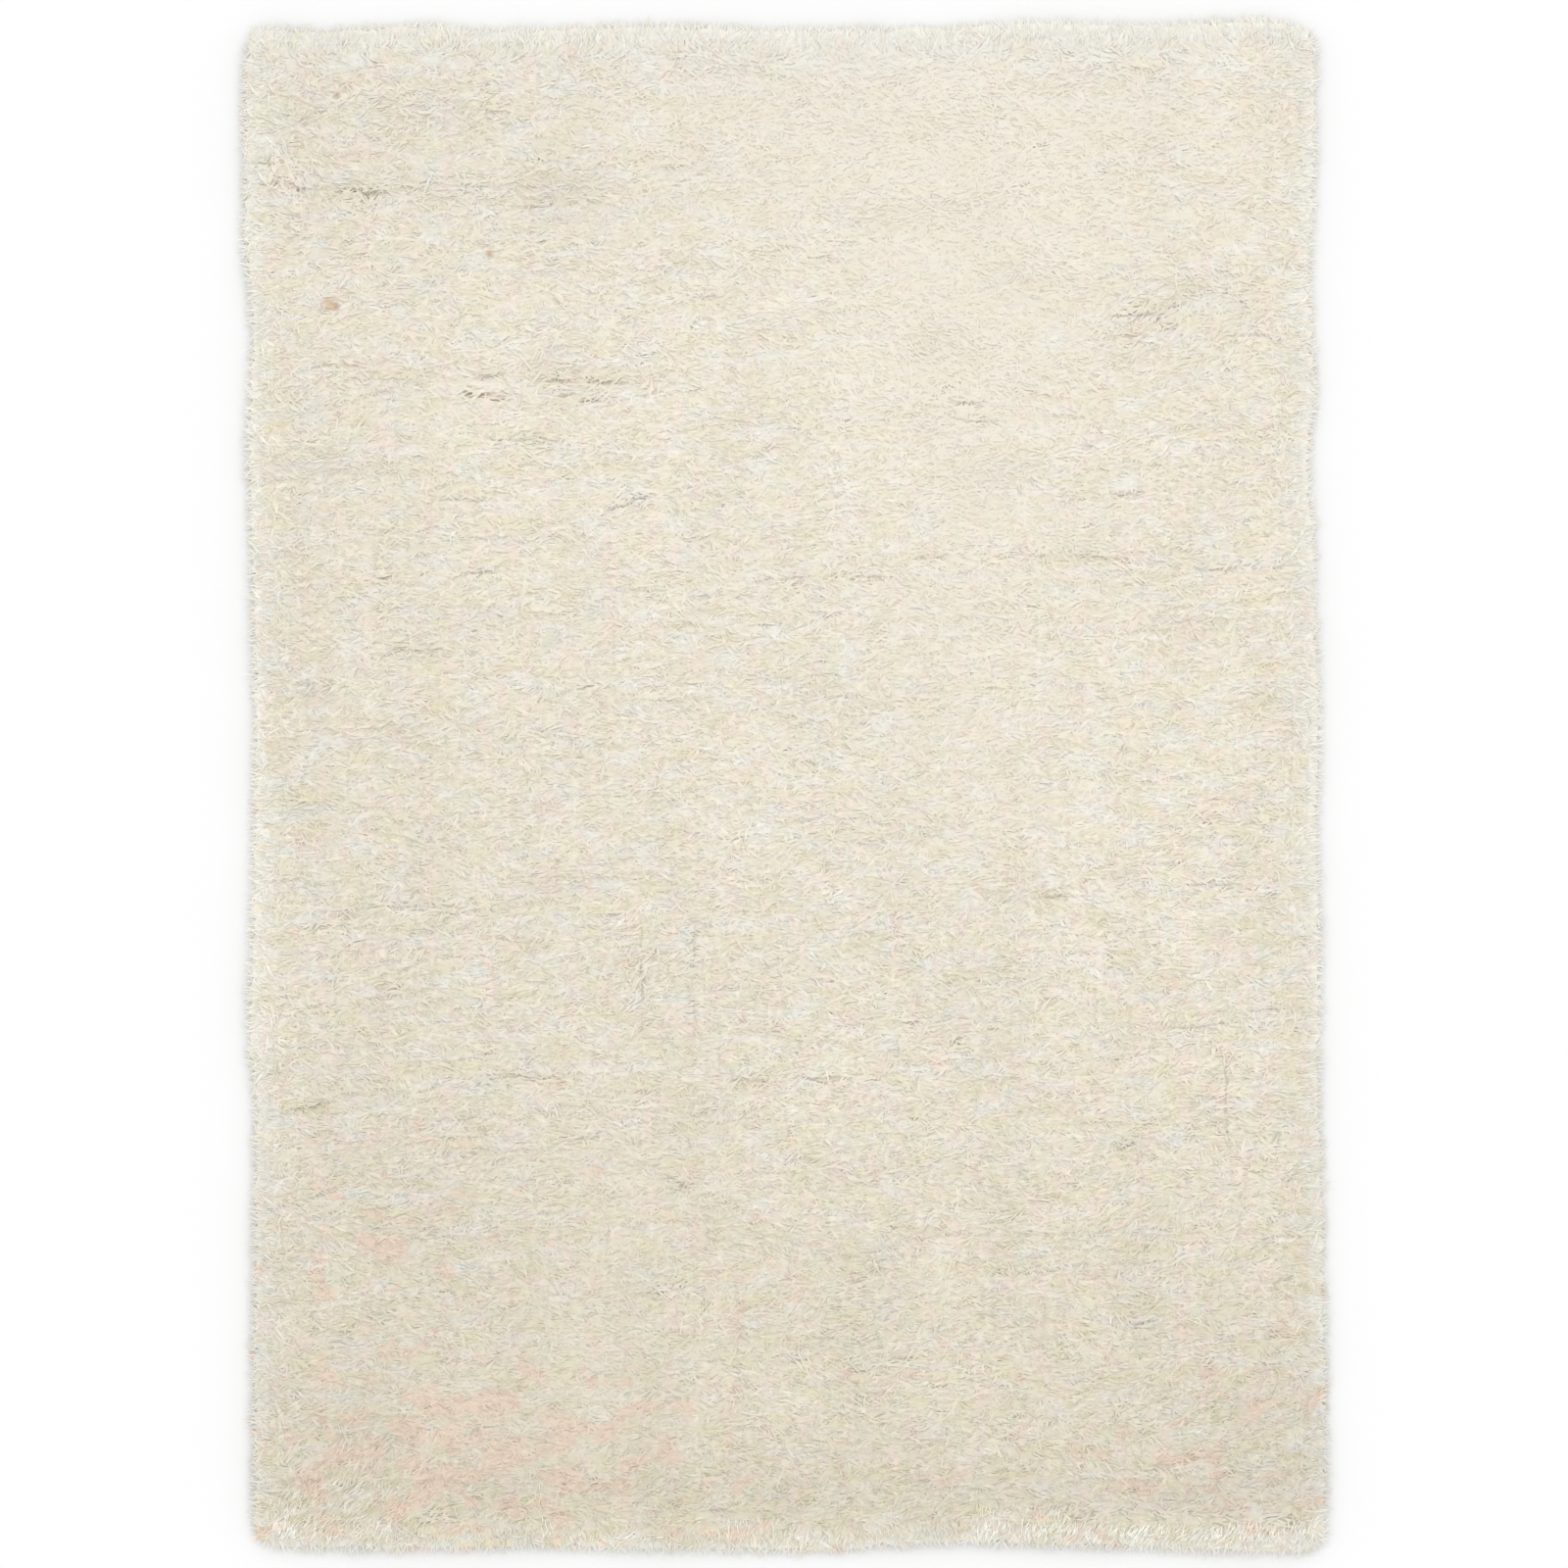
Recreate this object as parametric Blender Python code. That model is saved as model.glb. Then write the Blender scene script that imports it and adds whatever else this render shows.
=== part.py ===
"""A rectangular shag rug, lying flat: a lumpy slab of deep pile with drooping locks all round its rim.

Metres, +Z up. The origin is the middle of the flat underside, +Y runs along the rug's length and
+X across it. The slab is one closed mesh: a flat underside, a wall that bulges under the rim, a
rounded shoulder and a top that follows the tufts. Every rim lock grows out of one wall face.
"""

import math
import random
from typing import NamedTuple

import bmesh
import bpy
import numpy as np
from mathutils import Vector

# Driving dimensions: the pile's mean width and length without its rim locks, and its mean height
PILE_WIDTH = 1.612
PILE_LENGTH = 2.308
PILE_TOP = 0.032
CORNER_RADIUS = 0.024

# Cells of the top, and how many rim faces stand along each side of a cell
CELLS_ACROSS = 34
CELLS_ALONG = 48
RIM_PER_CELL = 2
CELL_JITTER = 0.22

# The rim's section, from the top's edge down to the underside: how far each ring lies inside the
# outline, and its height as a share of the pile's height there
TOP_EDGE_INSET = 0.038
TOP_EDGE_RISE = 0.96
SHOULDER_INSET = 0.013
SHOULDER_RISE = 0.74
WALL_TOP_RISE = 0.40
UNDERSIDE_INSET = 0.007

# Lumps of the pile: their mean height either way, and the usual length from one lump to the next,
# across and along the rug
SWELL_HEIGHT, SWELL_ACROSS, SWELL_ALONG = 0.0010, 0.80, 0.50
TUFT_HEIGHT, TUFT_ACROSS, TUFT_ALONG = 0.0024, 0.24, 0.135
WAVES_PER_LAYER = 24
WAVE_SPREAD = (0.7, 1.5)

# Rim locks
LOCK_COUNT = 290
LOCK_REACH = (0.010, 0.022)
LOCK_BEND = 0.46
LOCK_SWAY = 0.008
LOCK_WIDTHS = (0.50, 0.14)
LOCK_HEIGHTS = (0.58, 0.15)
LOCK_FULLNESS = (0.75, 1.20)
SEED = 7

CREAM = (0.80, 0.74, 0.64, 1.0)
PILE_ROUGHNESS = 0.95


class EdgePoint(NamedTuple):
    """One station of an edge: its place along that edge and how far the pile stands out there."""

    along: float
    out: float


class Parting(NamedTuple):
    """A place where the pile parts into a shallow trough, longer across the rug than along it."""

    across: float
    along: float
    half_width: float
    half_length: float
    depth: float


# Unevenness of the four edges, read from one end to the other
LEFT_EDGE = (
    EdgePoint(-1.17, -0.005),
    EdgePoint(-0.80, -0.004),
    EdgePoint(-0.50, -0.007),
    EdgePoint(-0.37, 0.004),
    EdgePoint(-0.18, -0.003),
    EdgePoint(0.07, -0.007),
    EdgePoint(0.35, -0.001),
    EdgePoint(0.53, 0.005),
    EdgePoint(0.70, -0.002),
    EdgePoint(0.86, 0.011),
    EdgePoint(1.08, 0.010),
    EdgePoint(1.17, 0.004),
)
RIGHT_EDGE = (
    EdgePoint(-1.17, 0.012),
    EdgePoint(-0.95, 0.012),
    EdgePoint(-0.72, 0.009),
    EdgePoint(-0.45, 0.002),
    EdgePoint(-0.22, 0.003),
    EdgePoint(-0.05, -0.003),
    EdgePoint(0.08, 0.003),
    EdgePoint(0.34, -0.005),
    EdgePoint(0.52, -0.014),
    EdgePoint(0.61, -0.005),
    EdgePoint(0.78, -0.012),
    EdgePoint(1.00, -0.004),
    EdgePoint(1.17, -0.004),
)
NEAR_EDGE = (
    EdgePoint(-0.82, -0.003),
    EdgePoint(-0.66, 0.003),
    EdgePoint(-0.36, -0.001),
    EdgePoint(-0.18, 0.003),
    EdgePoint(0.00, 0.006),
    EdgePoint(0.27, -0.007),
    EdgePoint(0.48, -0.001),
    EdgePoint(0.72, 0.007),
    EdgePoint(0.82, 0.006),
)
FAR_EDGE = (
    EdgePoint(-0.82, -0.002),
    EdgePoint(-0.71, -0.007),
    EdgePoint(-0.54, 0.002),
    EdgePoint(-0.45, -0.008),
    EdgePoint(-0.22, 0.001),
    EdgePoint(0.00, -0.005),
    EdgePoint(0.22, -0.004),
    EdgePoint(0.36, 0.005),
    EdgePoint(0.54, 0.002),
    EdgePoint(0.72, 0.009),
    EdgePoint(0.82, -0.003),
)

# The partings that show from a step away
PARTINGS = (
    Parting(-0.63, 0.90, 0.16, 0.030, 0.006),
    Parting(-0.35, 0.885, 0.07, 0.026, 0.005),
    Parting(-0.34, 0.61, 0.15, 0.034, 0.008),
    Parting(0.57, 0.71, 0.09, 0.044, 0.006),
    Parting(-0.23, 0.43, 0.06, 0.028, 0.005),
    Parting(0.29, -0.34, 0.05, 0.055, 0.006),
    Parting(-0.52, -1.07, 0.22, 0.028, 0.004),
    Parting(0.36, -1.08, 0.26, 0.028, 0.004),
)

HALF_WIDTH = PILE_WIDTH / 2
HALF_LENGTH = PILE_LENGTH / 2


def clear_scene():
    """Removes whatever objects the file holds."""
    for item in list(bpy.data.objects):
        bpy.data.objects.remove(item, do_unlink=True)


def pile_material():
    """The cream yarn: matt, with no metal in it."""
    material = bpy.data.materials.new("cream_pile")
    material.use_nodes = True
    shader = material.node_tree.nodes["Principled BSDF"]
    shader.inputs["Base Color"].default_value = CREAM
    shader.inputs["Roughness"].default_value = PILE_ROUGHNESS
    shader.inputs["Metallic"].default_value = 0.0
    return material


def edge_out(edge, along):
    """How far an edge stands out at a place along it, on a smooth run between its stations."""
    for first, second in zip(edge, edge[1:]):
        if along <= second.along:
            break
    share = (along - first.along) / (second.along - first.along)
    share = min(max(share, 0.0), 1.0)
    smooth = share * share * (3 - 2 * share)
    return first.out + (second.out - first.out) * smooth


def plan_point(across, along, inset):
    """A place on the plan. across and along run from -1 to 1 between the four uneven edges, each
    moved in by inset. Places near a corner are drawn in to its rounding."""
    straight_x, straight_y = across * HALF_WIDTH, along * HALF_LENGTH
    left = -HALF_WIDTH - edge_out(LEFT_EDGE, straight_y) + inset
    right = HALF_WIDTH + edge_out(RIGHT_EDGE, straight_y) - inset
    near = -HALF_LENGTH - edge_out(NEAR_EDGE, straight_x) + inset
    far = HALF_LENGTH + edge_out(FAR_EDGE, straight_x) - inset
    x = left + (right - left) * (across + 1) / 2
    y = near + (far - near) * (along + 1) / 2
    radius = max(CORNER_RADIUS - inset, 0.0)
    centre_x = right - radius if x > 0 else left + radius
    centre_y = far - radius if y > 0 else near + radius
    past_x, past_y = x - centre_x, y - centre_y
    if past_x * x > 0 and past_y * y > 0:
        # The square's corner maps to the quarter circle: the farther of the two steps is the radius
        reach = max(abs(past_x), abs(past_y)) / math.hypot(past_x, past_y)
        x, y = centre_x + past_x * reach, centre_y + past_y * reach
    return x, y


class Waves:
    """Smooth lumps of one size: a sum of sine waves that run in random directions, each with its
    length within the spread of the lumps' usual one."""

    def __init__(self, height, across, along, seed):
        draws = np.random.default_rng(seed)
        turn = draws.uniform(0, 2 * math.pi, WAVES_PER_LAYER)
        size = draws.uniform(*WAVE_SPREAD, WAVES_PER_LAYER)
        self.phase = draws.uniform(0, 2 * math.pi, WAVES_PER_LAYER)
        self.across = 2 * math.pi * np.cos(turn) / (across * size)
        self.along = 2 * math.pi * np.sin(turn) / (along * size)
        self.height = height * math.sqrt(2 / WAVES_PER_LAYER)

    def at(self, x, y):
        return self.height * float(np.sin(self.across * x + self.along * y + self.phase).sum())


SWELLS = Waves(SWELL_HEIGHT, SWELL_ACROSS, SWELL_ALONG, SEED)
TUFTS = Waves(TUFT_HEIGHT, TUFT_ACROSS, TUFT_ALONG, SEED + 1)


def pile_height(x, y):
    """The height of the pile's top: the mean height, long swells, tufts, and the partings."""
    top = PILE_TOP + SWELLS.at(x, y) + TUFTS.at(x, y)
    for parting in PARTINGS:
        far_x = (x - parting.across) / parting.half_width
        far_y = (y - parting.along) / parting.half_length
        top -= parting.depth * math.exp(-(far_x * far_x + far_y * far_y))
    return top


def steps(count):
    """Even steps from one edge to the other."""
    return np.linspace(-1.0, 1.0, count + 1)


def top_vertex(mesh, across, along, rise):
    x, y = plan_point(across, along, TOP_EDGE_INSET)
    return mesh.verts.new((x, y, pile_height(x, y) * rise))


def top_row(mesh, along, drift):
    """One row of the top. Between its two ends the vertices are moved a little off the grid."""
    across = steps(CELLS_ACROSS)
    row = [top_vertex(mesh, across[0], along, TOP_EDGE_RISE)]
    for place in across[1:-1]:
        moved_x = place + drift.uniform(-CELL_JITTER, CELL_JITTER) * (across[1] - across[0])
        moved_y = along + drift.uniform(-CELL_JITTER, CELL_JITTER) * 2 / CELLS_ALONG
        row.append(top_vertex(mesh, moved_x, moved_y, 1.0))
    row.append(top_vertex(mesh, across[-1], along, TOP_EDGE_RISE))
    return row


def top_grid(mesh):
    """The lumpy top: its rows of vertices, with even rows at the near and the far edge."""
    drift = random.Random(SEED)
    across, along = steps(CELLS_ACROSS), steps(CELLS_ALONG)
    near = [top_vertex(mesh, place, along[0], TOP_EDGE_RISE) for place in across]
    middle = [top_row(mesh, place, drift) for place in along[1:-1]]
    far = [top_vertex(mesh, place, along[-1], TOP_EDGE_RISE) for place in across]
    rows = [near, *middle, far]
    for low, high in zip(rows, rows[1:]):
        for a, b, c, d in zip(low, low[1:], high[1:], high):
            mesh.faces.new((a, b, c, d))
    return rows


def top_edge(rows):
    """The top's boundary, anticlockwise from the near left corner."""
    near, far = rows[0], rows[-1]
    right = [row[-1] for row in rows[1:-1]]
    left = [row[0] for row in rows[1:-1]]
    return near + right + far[::-1] + left[::-1]


def rim_places():
    """Places once round the rim, anticlockwise from the near left corner, in plan_point's terms."""
    across = steps(CELLS_ACROSS * RIM_PER_CELL)
    along = steps(CELLS_ALONG * RIM_PER_CELL)
    near = [(a, -1.0) for a in across[:-1]]
    right = [(1.0, a) for a in along[:-1]]
    far = [(a, 1.0) for a in across[:0:-1]]
    left = [(-1.0, a) for a in along[:0:-1]]
    return near + right + far + left


def rim_ring(mesh, inset, rise):
    """One ring of vertices round the rim, at a share of the pile's height there."""
    ring = []
    for across, along in rim_places():
        x, y = plan_point(across, along, inset)
        ring.append(mesh.verts.new((x, y, pile_height(x, y) * rise)))
    return ring


def join_top_to_ring(mesh, edge, ring):
    """Each step of the top's edge meets two steps of the shoulder, with three triangles."""
    for k, corner in enumerate(edge):
        after = edge[(k + 1) % len(edge)]
        first, middle = ring[RIM_PER_CELL * k], ring[RIM_PER_CELL * k + 1]
        last = ring[RIM_PER_CELL * (k + 1) % len(ring)]
        mesh.faces.new((corner, first, middle))
        mesh.faces.new((corner, middle, after))
        mesh.faces.new((after, middle, last))


def join_rings(mesh, upper, lower):
    """A band of four-sided faces between two rings."""
    count = len(upper)
    return [
        mesh.faces.new((upper[k], lower[k], lower[(k + 1) % count], upper[(k + 1) % count]))
        for k in range(count)
    ]


class Root:
    """Where a lock leaves the wall: the middle of the wall face's upper edge, seen on the plan, the
    direction along that edge and the direction outwards."""

    def __init__(self, face):
        first, second = (v.co for v in face.verts if v.co.z > 0)
        self.side = (second - first).to_2d().normalized().to_3d()
        self.middle = ((first + second) / 2).to_2d().to_3d()
        self.out = self.side.cross(Vector((0, 0, 1)))
        if self.out.dot(self.middle) < 0:
            self.side, self.out = -self.side, -self.out

    def place(self, reach, sway, offset, height):
        """A point at reach outside the wall, moved sideways by sway and by its own offset."""
        plan = self.middle + self.out * reach + self.side * (sway + offset)
        return Vector((plan.x, plan.y, height))


def grow_lock(mesh, face, draws):
    """A drooping lock of four sides. It narrows in two steps and its underside lies level."""
    root = Root(face)
    reach = draws.uniform(*LOCK_REACH)
    sway = draws.uniform(-LOCK_SWAY, LOCK_SWAY)
    fullness = draws.uniform(*LOCK_FULLNESS)
    offsets = [(v.co - root.middle).dot(root.side) * fullness for v in face.verts]
    heights = [v.co.z for v in face.verts]
    for share, width, height in zip((LOCK_BEND, 1.0), LOCK_WIDTHS, LOCK_HEIGHTS):
        grown = bmesh.ops.extrude_discrete_faces(mesh, faces=[face])["faces"][0]
        for vert, offset, z in zip(grown.verts, offsets, heights):
            vert.co = root.place(reach * share, sway * share, offset * width, z * height)
        face = grown


def grow_locks(mesh, wall):
    """A lock on each of the wall's faces but a few, which are left bare at random."""
    draws = random.Random(SEED)
    for k in sorted(draws.sample(range(len(wall)), LOCK_COUNT)):
        grow_lock(mesh, wall[k], draws)


def centre_on_box(mesh):
    """Moves the middle of the rug's box, seen on the plan, to the origin."""
    places = np.array([v.co[:] for v in mesh.verts])
    middle = (places.min(axis=0) + places.max(axis=0)) / 2
    bmesh.ops.translate(mesh, verts=mesh.verts, vec=(-middle[0], -middle[1], 0.0))


def rug():
    """The whole rug as one closed mesh."""
    mesh = bmesh.new()
    rows = top_grid(mesh)
    shoulder = rim_ring(mesh, SHOULDER_INSET, SHOULDER_RISE)
    wall_top = rim_ring(mesh, 0.0, WALL_TOP_RISE)
    underside = rim_ring(mesh, UNDERSIDE_INSET, 0.0)
    join_top_to_ring(mesh, top_edge(rows), shoulder)
    join_rings(mesh, shoulder, wall_top)
    wall = join_rings(mesh, wall_top, underside)
    mesh.faces.new(underside[::-1])
    grow_locks(mesh, wall)
    centre_on_box(mesh)
    bmesh.ops.recalc_face_normals(mesh, faces=mesh.faces)
    data = bpy.data.meshes.new("rug")
    mesh.to_mesh(data)
    mesh.free()
    data.materials.append(pile_material())
    data.shade_smooth()
    data.set_sharp_from_angle(angle=math.radians(60))
    item = bpy.data.objects.new("rug", data)
    bpy.context.scene.collection.objects.link(item)
    return item


clear_scene()
rug()
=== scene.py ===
"""The shag rug's looks: its woven ground, its combed pile and the locks that droop over its rim.

Metres, +Z up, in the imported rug's own frame: the origin is the middle of the flat underside, +X
runs across the rug and +Y along it. The pile is made in depths. A closed bed fills it to a little
under its surface, long, broad locks cover the bed, and shorter, finer ones lie combed across the
rug on top. All of them follow the lumps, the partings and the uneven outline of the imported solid.
"""

import logging
import math
from dataclasses import dataclass, field
from enum import Enum
from typing import NamedTuple

import bpy
import numpy as np
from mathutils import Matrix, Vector
from numpy.typing import NDArray


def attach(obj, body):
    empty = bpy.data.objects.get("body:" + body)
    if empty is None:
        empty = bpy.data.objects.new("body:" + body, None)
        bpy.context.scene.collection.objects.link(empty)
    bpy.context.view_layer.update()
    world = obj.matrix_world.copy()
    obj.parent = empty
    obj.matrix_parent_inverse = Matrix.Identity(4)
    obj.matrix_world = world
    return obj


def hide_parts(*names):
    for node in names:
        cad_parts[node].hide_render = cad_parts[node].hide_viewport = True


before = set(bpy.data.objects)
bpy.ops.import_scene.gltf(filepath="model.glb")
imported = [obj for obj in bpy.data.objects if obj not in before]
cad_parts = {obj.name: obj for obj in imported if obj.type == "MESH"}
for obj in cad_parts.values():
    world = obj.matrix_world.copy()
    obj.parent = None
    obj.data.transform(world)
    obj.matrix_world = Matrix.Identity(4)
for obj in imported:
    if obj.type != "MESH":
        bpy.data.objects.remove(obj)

Array = NDArray[np.float64]
Range = tuple[float, float]
Axes = tuple[float, float, float]
Colour = tuple[float, float, float, float]

LOG = logging.getLogger("shag_rug")
BODY = "root"
SOLID = "rug"
FULL_TURN = 2 * math.pi
TINY = 1e-9


class Slot(Enum):
    """The record's finishes, by their names there."""

    PILE = "pile"
    GROUND = "ground"


class EdgePoint(NamedTuple):
    """One station of an edge: its place along that edge and how far the pile stands out there."""

    along: float
    out: float


class Parting(NamedTuple):
    """A place where the pile parts into a shallow trough, longer across the rug than along it."""

    across: float
    along: float
    half_width: float
    half_length: float
    depth: float


class Swirl(NamedTuple):
    """A place where the locks turn away from the combed direction, by that many degrees."""

    across: float
    along: float
    half_width: float
    half_length: float
    turn: float


class Crease(NamedTuple):
    """A thin line where the pile parts, turned by that many degrees from straight across."""

    across: float
    along: float
    half_length: float
    turn: float
    depth: float


class Patch(NamedTuple):
    """A place where the yarn is paler, darker, warmer, rosier or calmer, by that share."""

    across: float
    along: float
    half_width: float
    half_length: float
    amount: float


class Tuft(NamedTuple):
    """A few pale wisps that stand out of the pile, turned by that many degrees."""

    across: float
    along: float
    half_width: float
    half_length: float
    turn: float
    count: int


class Fleck(NamedTuple):
    """A small fleck caught in the yarn, from tan at a depth of 0 to brown at 1."""

    across: float
    along: float
    radius: float
    depth: float


# Unevenness of the four edges, read from one end to the other, as the solid has it
LEFT_EDGE = (
    EdgePoint(-1.17, -0.005),
    EdgePoint(-0.80, -0.004),
    EdgePoint(-0.50, -0.007),
    EdgePoint(-0.37, 0.004),
    EdgePoint(-0.18, -0.003),
    EdgePoint(0.07, -0.007),
    EdgePoint(0.35, -0.001),
    EdgePoint(0.53, 0.005),
    EdgePoint(0.70, -0.002),
    EdgePoint(0.86, 0.011),
    EdgePoint(1.08, 0.010),
    EdgePoint(1.17, 0.004),
)
RIGHT_EDGE = (
    EdgePoint(-1.17, 0.012),
    EdgePoint(-0.95, 0.012),
    EdgePoint(-0.72, 0.009),
    EdgePoint(-0.45, 0.002),
    EdgePoint(-0.22, 0.003),
    EdgePoint(-0.05, -0.003),
    EdgePoint(0.08, 0.003),
    EdgePoint(0.34, -0.005),
    EdgePoint(0.52, -0.014),
    EdgePoint(0.61, -0.005),
    EdgePoint(0.78, -0.012),
    EdgePoint(1.00, -0.004),
    EdgePoint(1.17, -0.004),
)
NEAR_EDGE = (
    EdgePoint(-0.82, -0.003),
    EdgePoint(-0.66, 0.003),
    EdgePoint(-0.36, -0.001),
    EdgePoint(-0.18, 0.003),
    EdgePoint(0.00, 0.006),
    EdgePoint(0.27, -0.007),
    EdgePoint(0.48, -0.001),
    EdgePoint(0.72, 0.007),
    EdgePoint(0.82, 0.006),
)
FAR_EDGE = (
    EdgePoint(-0.82, -0.002),
    EdgePoint(-0.71, -0.007),
    EdgePoint(-0.54, 0.002),
    EdgePoint(-0.45, -0.008),
    EdgePoint(-0.22, 0.001),
    EdgePoint(0.00, -0.005),
    EdgePoint(0.22, -0.004),
    EdgePoint(0.36, 0.005),
    EdgePoint(0.54, 0.002),
    EdgePoint(0.72, 0.009),
    EdgePoint(0.82, -0.003),
)

# The partings that show from a step away, as the solid has them
PARTINGS = (
    Parting(-0.63, 0.90, 0.16, 0.030, 0.006),
    Parting(-0.35, 0.885, 0.07, 0.026, 0.005),
    Parting(-0.34, 0.61, 0.15, 0.034, 0.008),
    Parting(0.57, 0.71, 0.09, 0.044, 0.006),
    Parting(-0.23, 0.43, 0.06, 0.028, 0.005),
    Parting(0.29, -0.34, 0.05, 0.055, 0.006),
    Parting(-0.52, -1.07, 0.22, 0.028, 0.004),
    Parting(0.36, -1.08, 0.26, 0.028, 0.004),
)

# Tufts that lie out of the combed direction
SWIRLS = (
    Swirl(-0.67, -1.06, 0.12, 0.060, 52.0),
    Swirl(-0.76, 0.93, 0.07, 0.070, -38.0),
    Swirl(0.57, 0.70, 0.09, 0.050, 34.0),
    Swirl(-0.22, -0.30, 0.02, 0.110, 48.0),
    Swirl(0.52, -0.66, 0.07, 0.060, 40.0),
    Swirl(0.12, 0.62, 0.10, 0.030, -20.0),
    Swirl(0.45, -1.02, 0.12, 0.040, -34.0),
)

# Thin lines where locks part, each as long and as deep as it shows
CREASES = (
    Crease(-0.790, 0.952, 0.018, 0.0, 0.55),
    Crease(-0.788, 0.922, 0.014, 4.0, 0.50),
    Crease(-0.738, 0.912, 0.016, -6.0, 0.50),
    Crease(-0.647, 0.909, 0.034, -5.0, 1.00),
    Crease(-0.570, 0.914, 0.024, 4.0, 0.30),
    Crease(-0.478, 0.917, 0.036, 0.0, 0.25),
    Crease(-0.372, 0.888, 0.026, 3.0, 0.35),
    Crease(-0.787, 0.822, 0.016, 0.0, 0.30),
    Crease(-0.122, 0.748, 0.020, 0.0, 0.35),
    Crease(0.004, 0.824, 0.012, 10.0, 0.20),
    Crease(0.060, 0.808, 0.018, -16.0, 0.15),
    Crease(0.537, 0.719, 0.042, 4.0, 0.40),
    Crease(0.592, 0.734, 0.024, 8.0, 0.30),
    Crease(0.528, 0.688, 0.032, 0.0, 0.35),
    Crease(0.700, 0.742, 0.030, 4.0, 0.15),
    Crease(0.722, 0.690, 0.036, 0.0, 0.15),
    Crease(-0.680, 0.644, 0.044, 0.0, 0.22),
    Crease(-0.450, 0.628, 0.026, 8.0, 0.60),
    Crease(-0.344, 0.620, 0.028, 0.0, 0.62),
    Crease(-0.268, 0.618, 0.038, -2.0, 0.56),
    Crease(-0.472, 0.598, 0.028, -3.0, 0.88),
    Crease(-0.418, 0.598, 0.014, 3.0, 0.20),
    Crease(-0.338, 0.599, 0.018, 0.0, 0.46),
    Crease(-0.292, 0.590, 0.026, 6.0, 0.70),
    Crease(-0.210, 0.600, 0.018, 16.0, 0.22),
    Crease(-0.394, 0.530, 0.060, 0.0, 0.30),
    Crease(0.275, 0.586, 0.020, -4.0, 0.50),
    Crease(0.232, 0.578, 0.018, 12.0, 0.10),
    Crease(0.300, 0.558, 0.036, 0.0, 0.25),
    Crease(0.432, 0.565, 0.040, 2.0, 0.20),
    Crease(-0.490, 0.438, 0.046, 0.0, 0.24),
    Crease(-0.245, 0.430, 0.038, 22.0, 0.60),
    Crease(0.522, 0.445, 0.020, 0.0, 0.36),
    Crease(-0.464, 0.326, 0.026, 4.0, 0.50),
    Crease(0.002, 0.318, 0.050, 3.0, 0.30),
    Crease(0.110, 0.322, 0.040, 0.0, 0.35),
    Crease(0.224, 0.350, 0.032, 10.0, 0.20),
    Crease(0.360, 0.353, 0.050, 0.0, 0.30),
    Crease(0.478, 0.350, 0.044, -3.0, 0.28),
    Crease(0.672, 0.333, 0.050, 5.0, 0.30),
    Crease(0.768, 0.341, 0.034, 8.0, 0.20),
    Crease(-0.570, 0.209, 0.042, -3.0, 0.32),
    Crease(-0.756, -0.141, 0.020, 0.0, 0.20),
    Crease(0.650, -0.150, 0.046, 0.0, 0.35),
    Crease(0.686, -0.114, 0.020, 4.0, 0.20),
    Crease(0.412, -0.168, 0.026, 0.0, 0.60),
    Crease(-0.570, -0.183, 0.095, 0.0, 0.25),
    Crease(-0.270, -0.195, 0.022, 0.0, 0.25),
    Crease(-0.218, -0.294, 0.085, 90.0, 0.40),
    Crease(-0.139, -0.242, 0.034, 88.0, 0.28),
    Crease(-0.138, -0.354, 0.030, 92.0, 0.34),
    Crease(0.674, -0.481, 0.070, 92.0, 0.48),
    Crease(0.620, -0.366, 0.062, 6.0, 0.30),
    Crease(0.732, -0.340, 0.032, 8.0, 0.20),
    Crease(-0.390, -0.442, 0.080, -2.0, 0.30),
    Crease(-0.046, -0.448, 0.024, 0.0, 0.35),
    Crease(0.058, -0.444, 0.030, 6.0, 0.50),
    Crease(-0.440, -0.556, 0.060, 4.0, 0.20),
    Crease(-0.300, -0.534, 0.040, 12.0, 0.36),
    Crease(-0.226, -0.514, 0.036, 12.0, 0.20),
    Crease(-0.120, -0.496, 0.036, 14.0, 0.20),
    Crease(-0.728, -0.489, 0.040, 10.0, 0.32),
    Crease(-0.166, -0.601, 0.020, -34.0, 0.55),
    Crease(0.522, -0.549, 0.014, 20.0, 0.64),
    Crease(-0.180, -0.768, 0.040, 12.0, 0.44),
    Crease(0.544, -0.818, 0.018, 24.0, 0.24),
    Crease(0.060, -0.840, 0.030, 0.0, 0.22),
)

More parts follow.
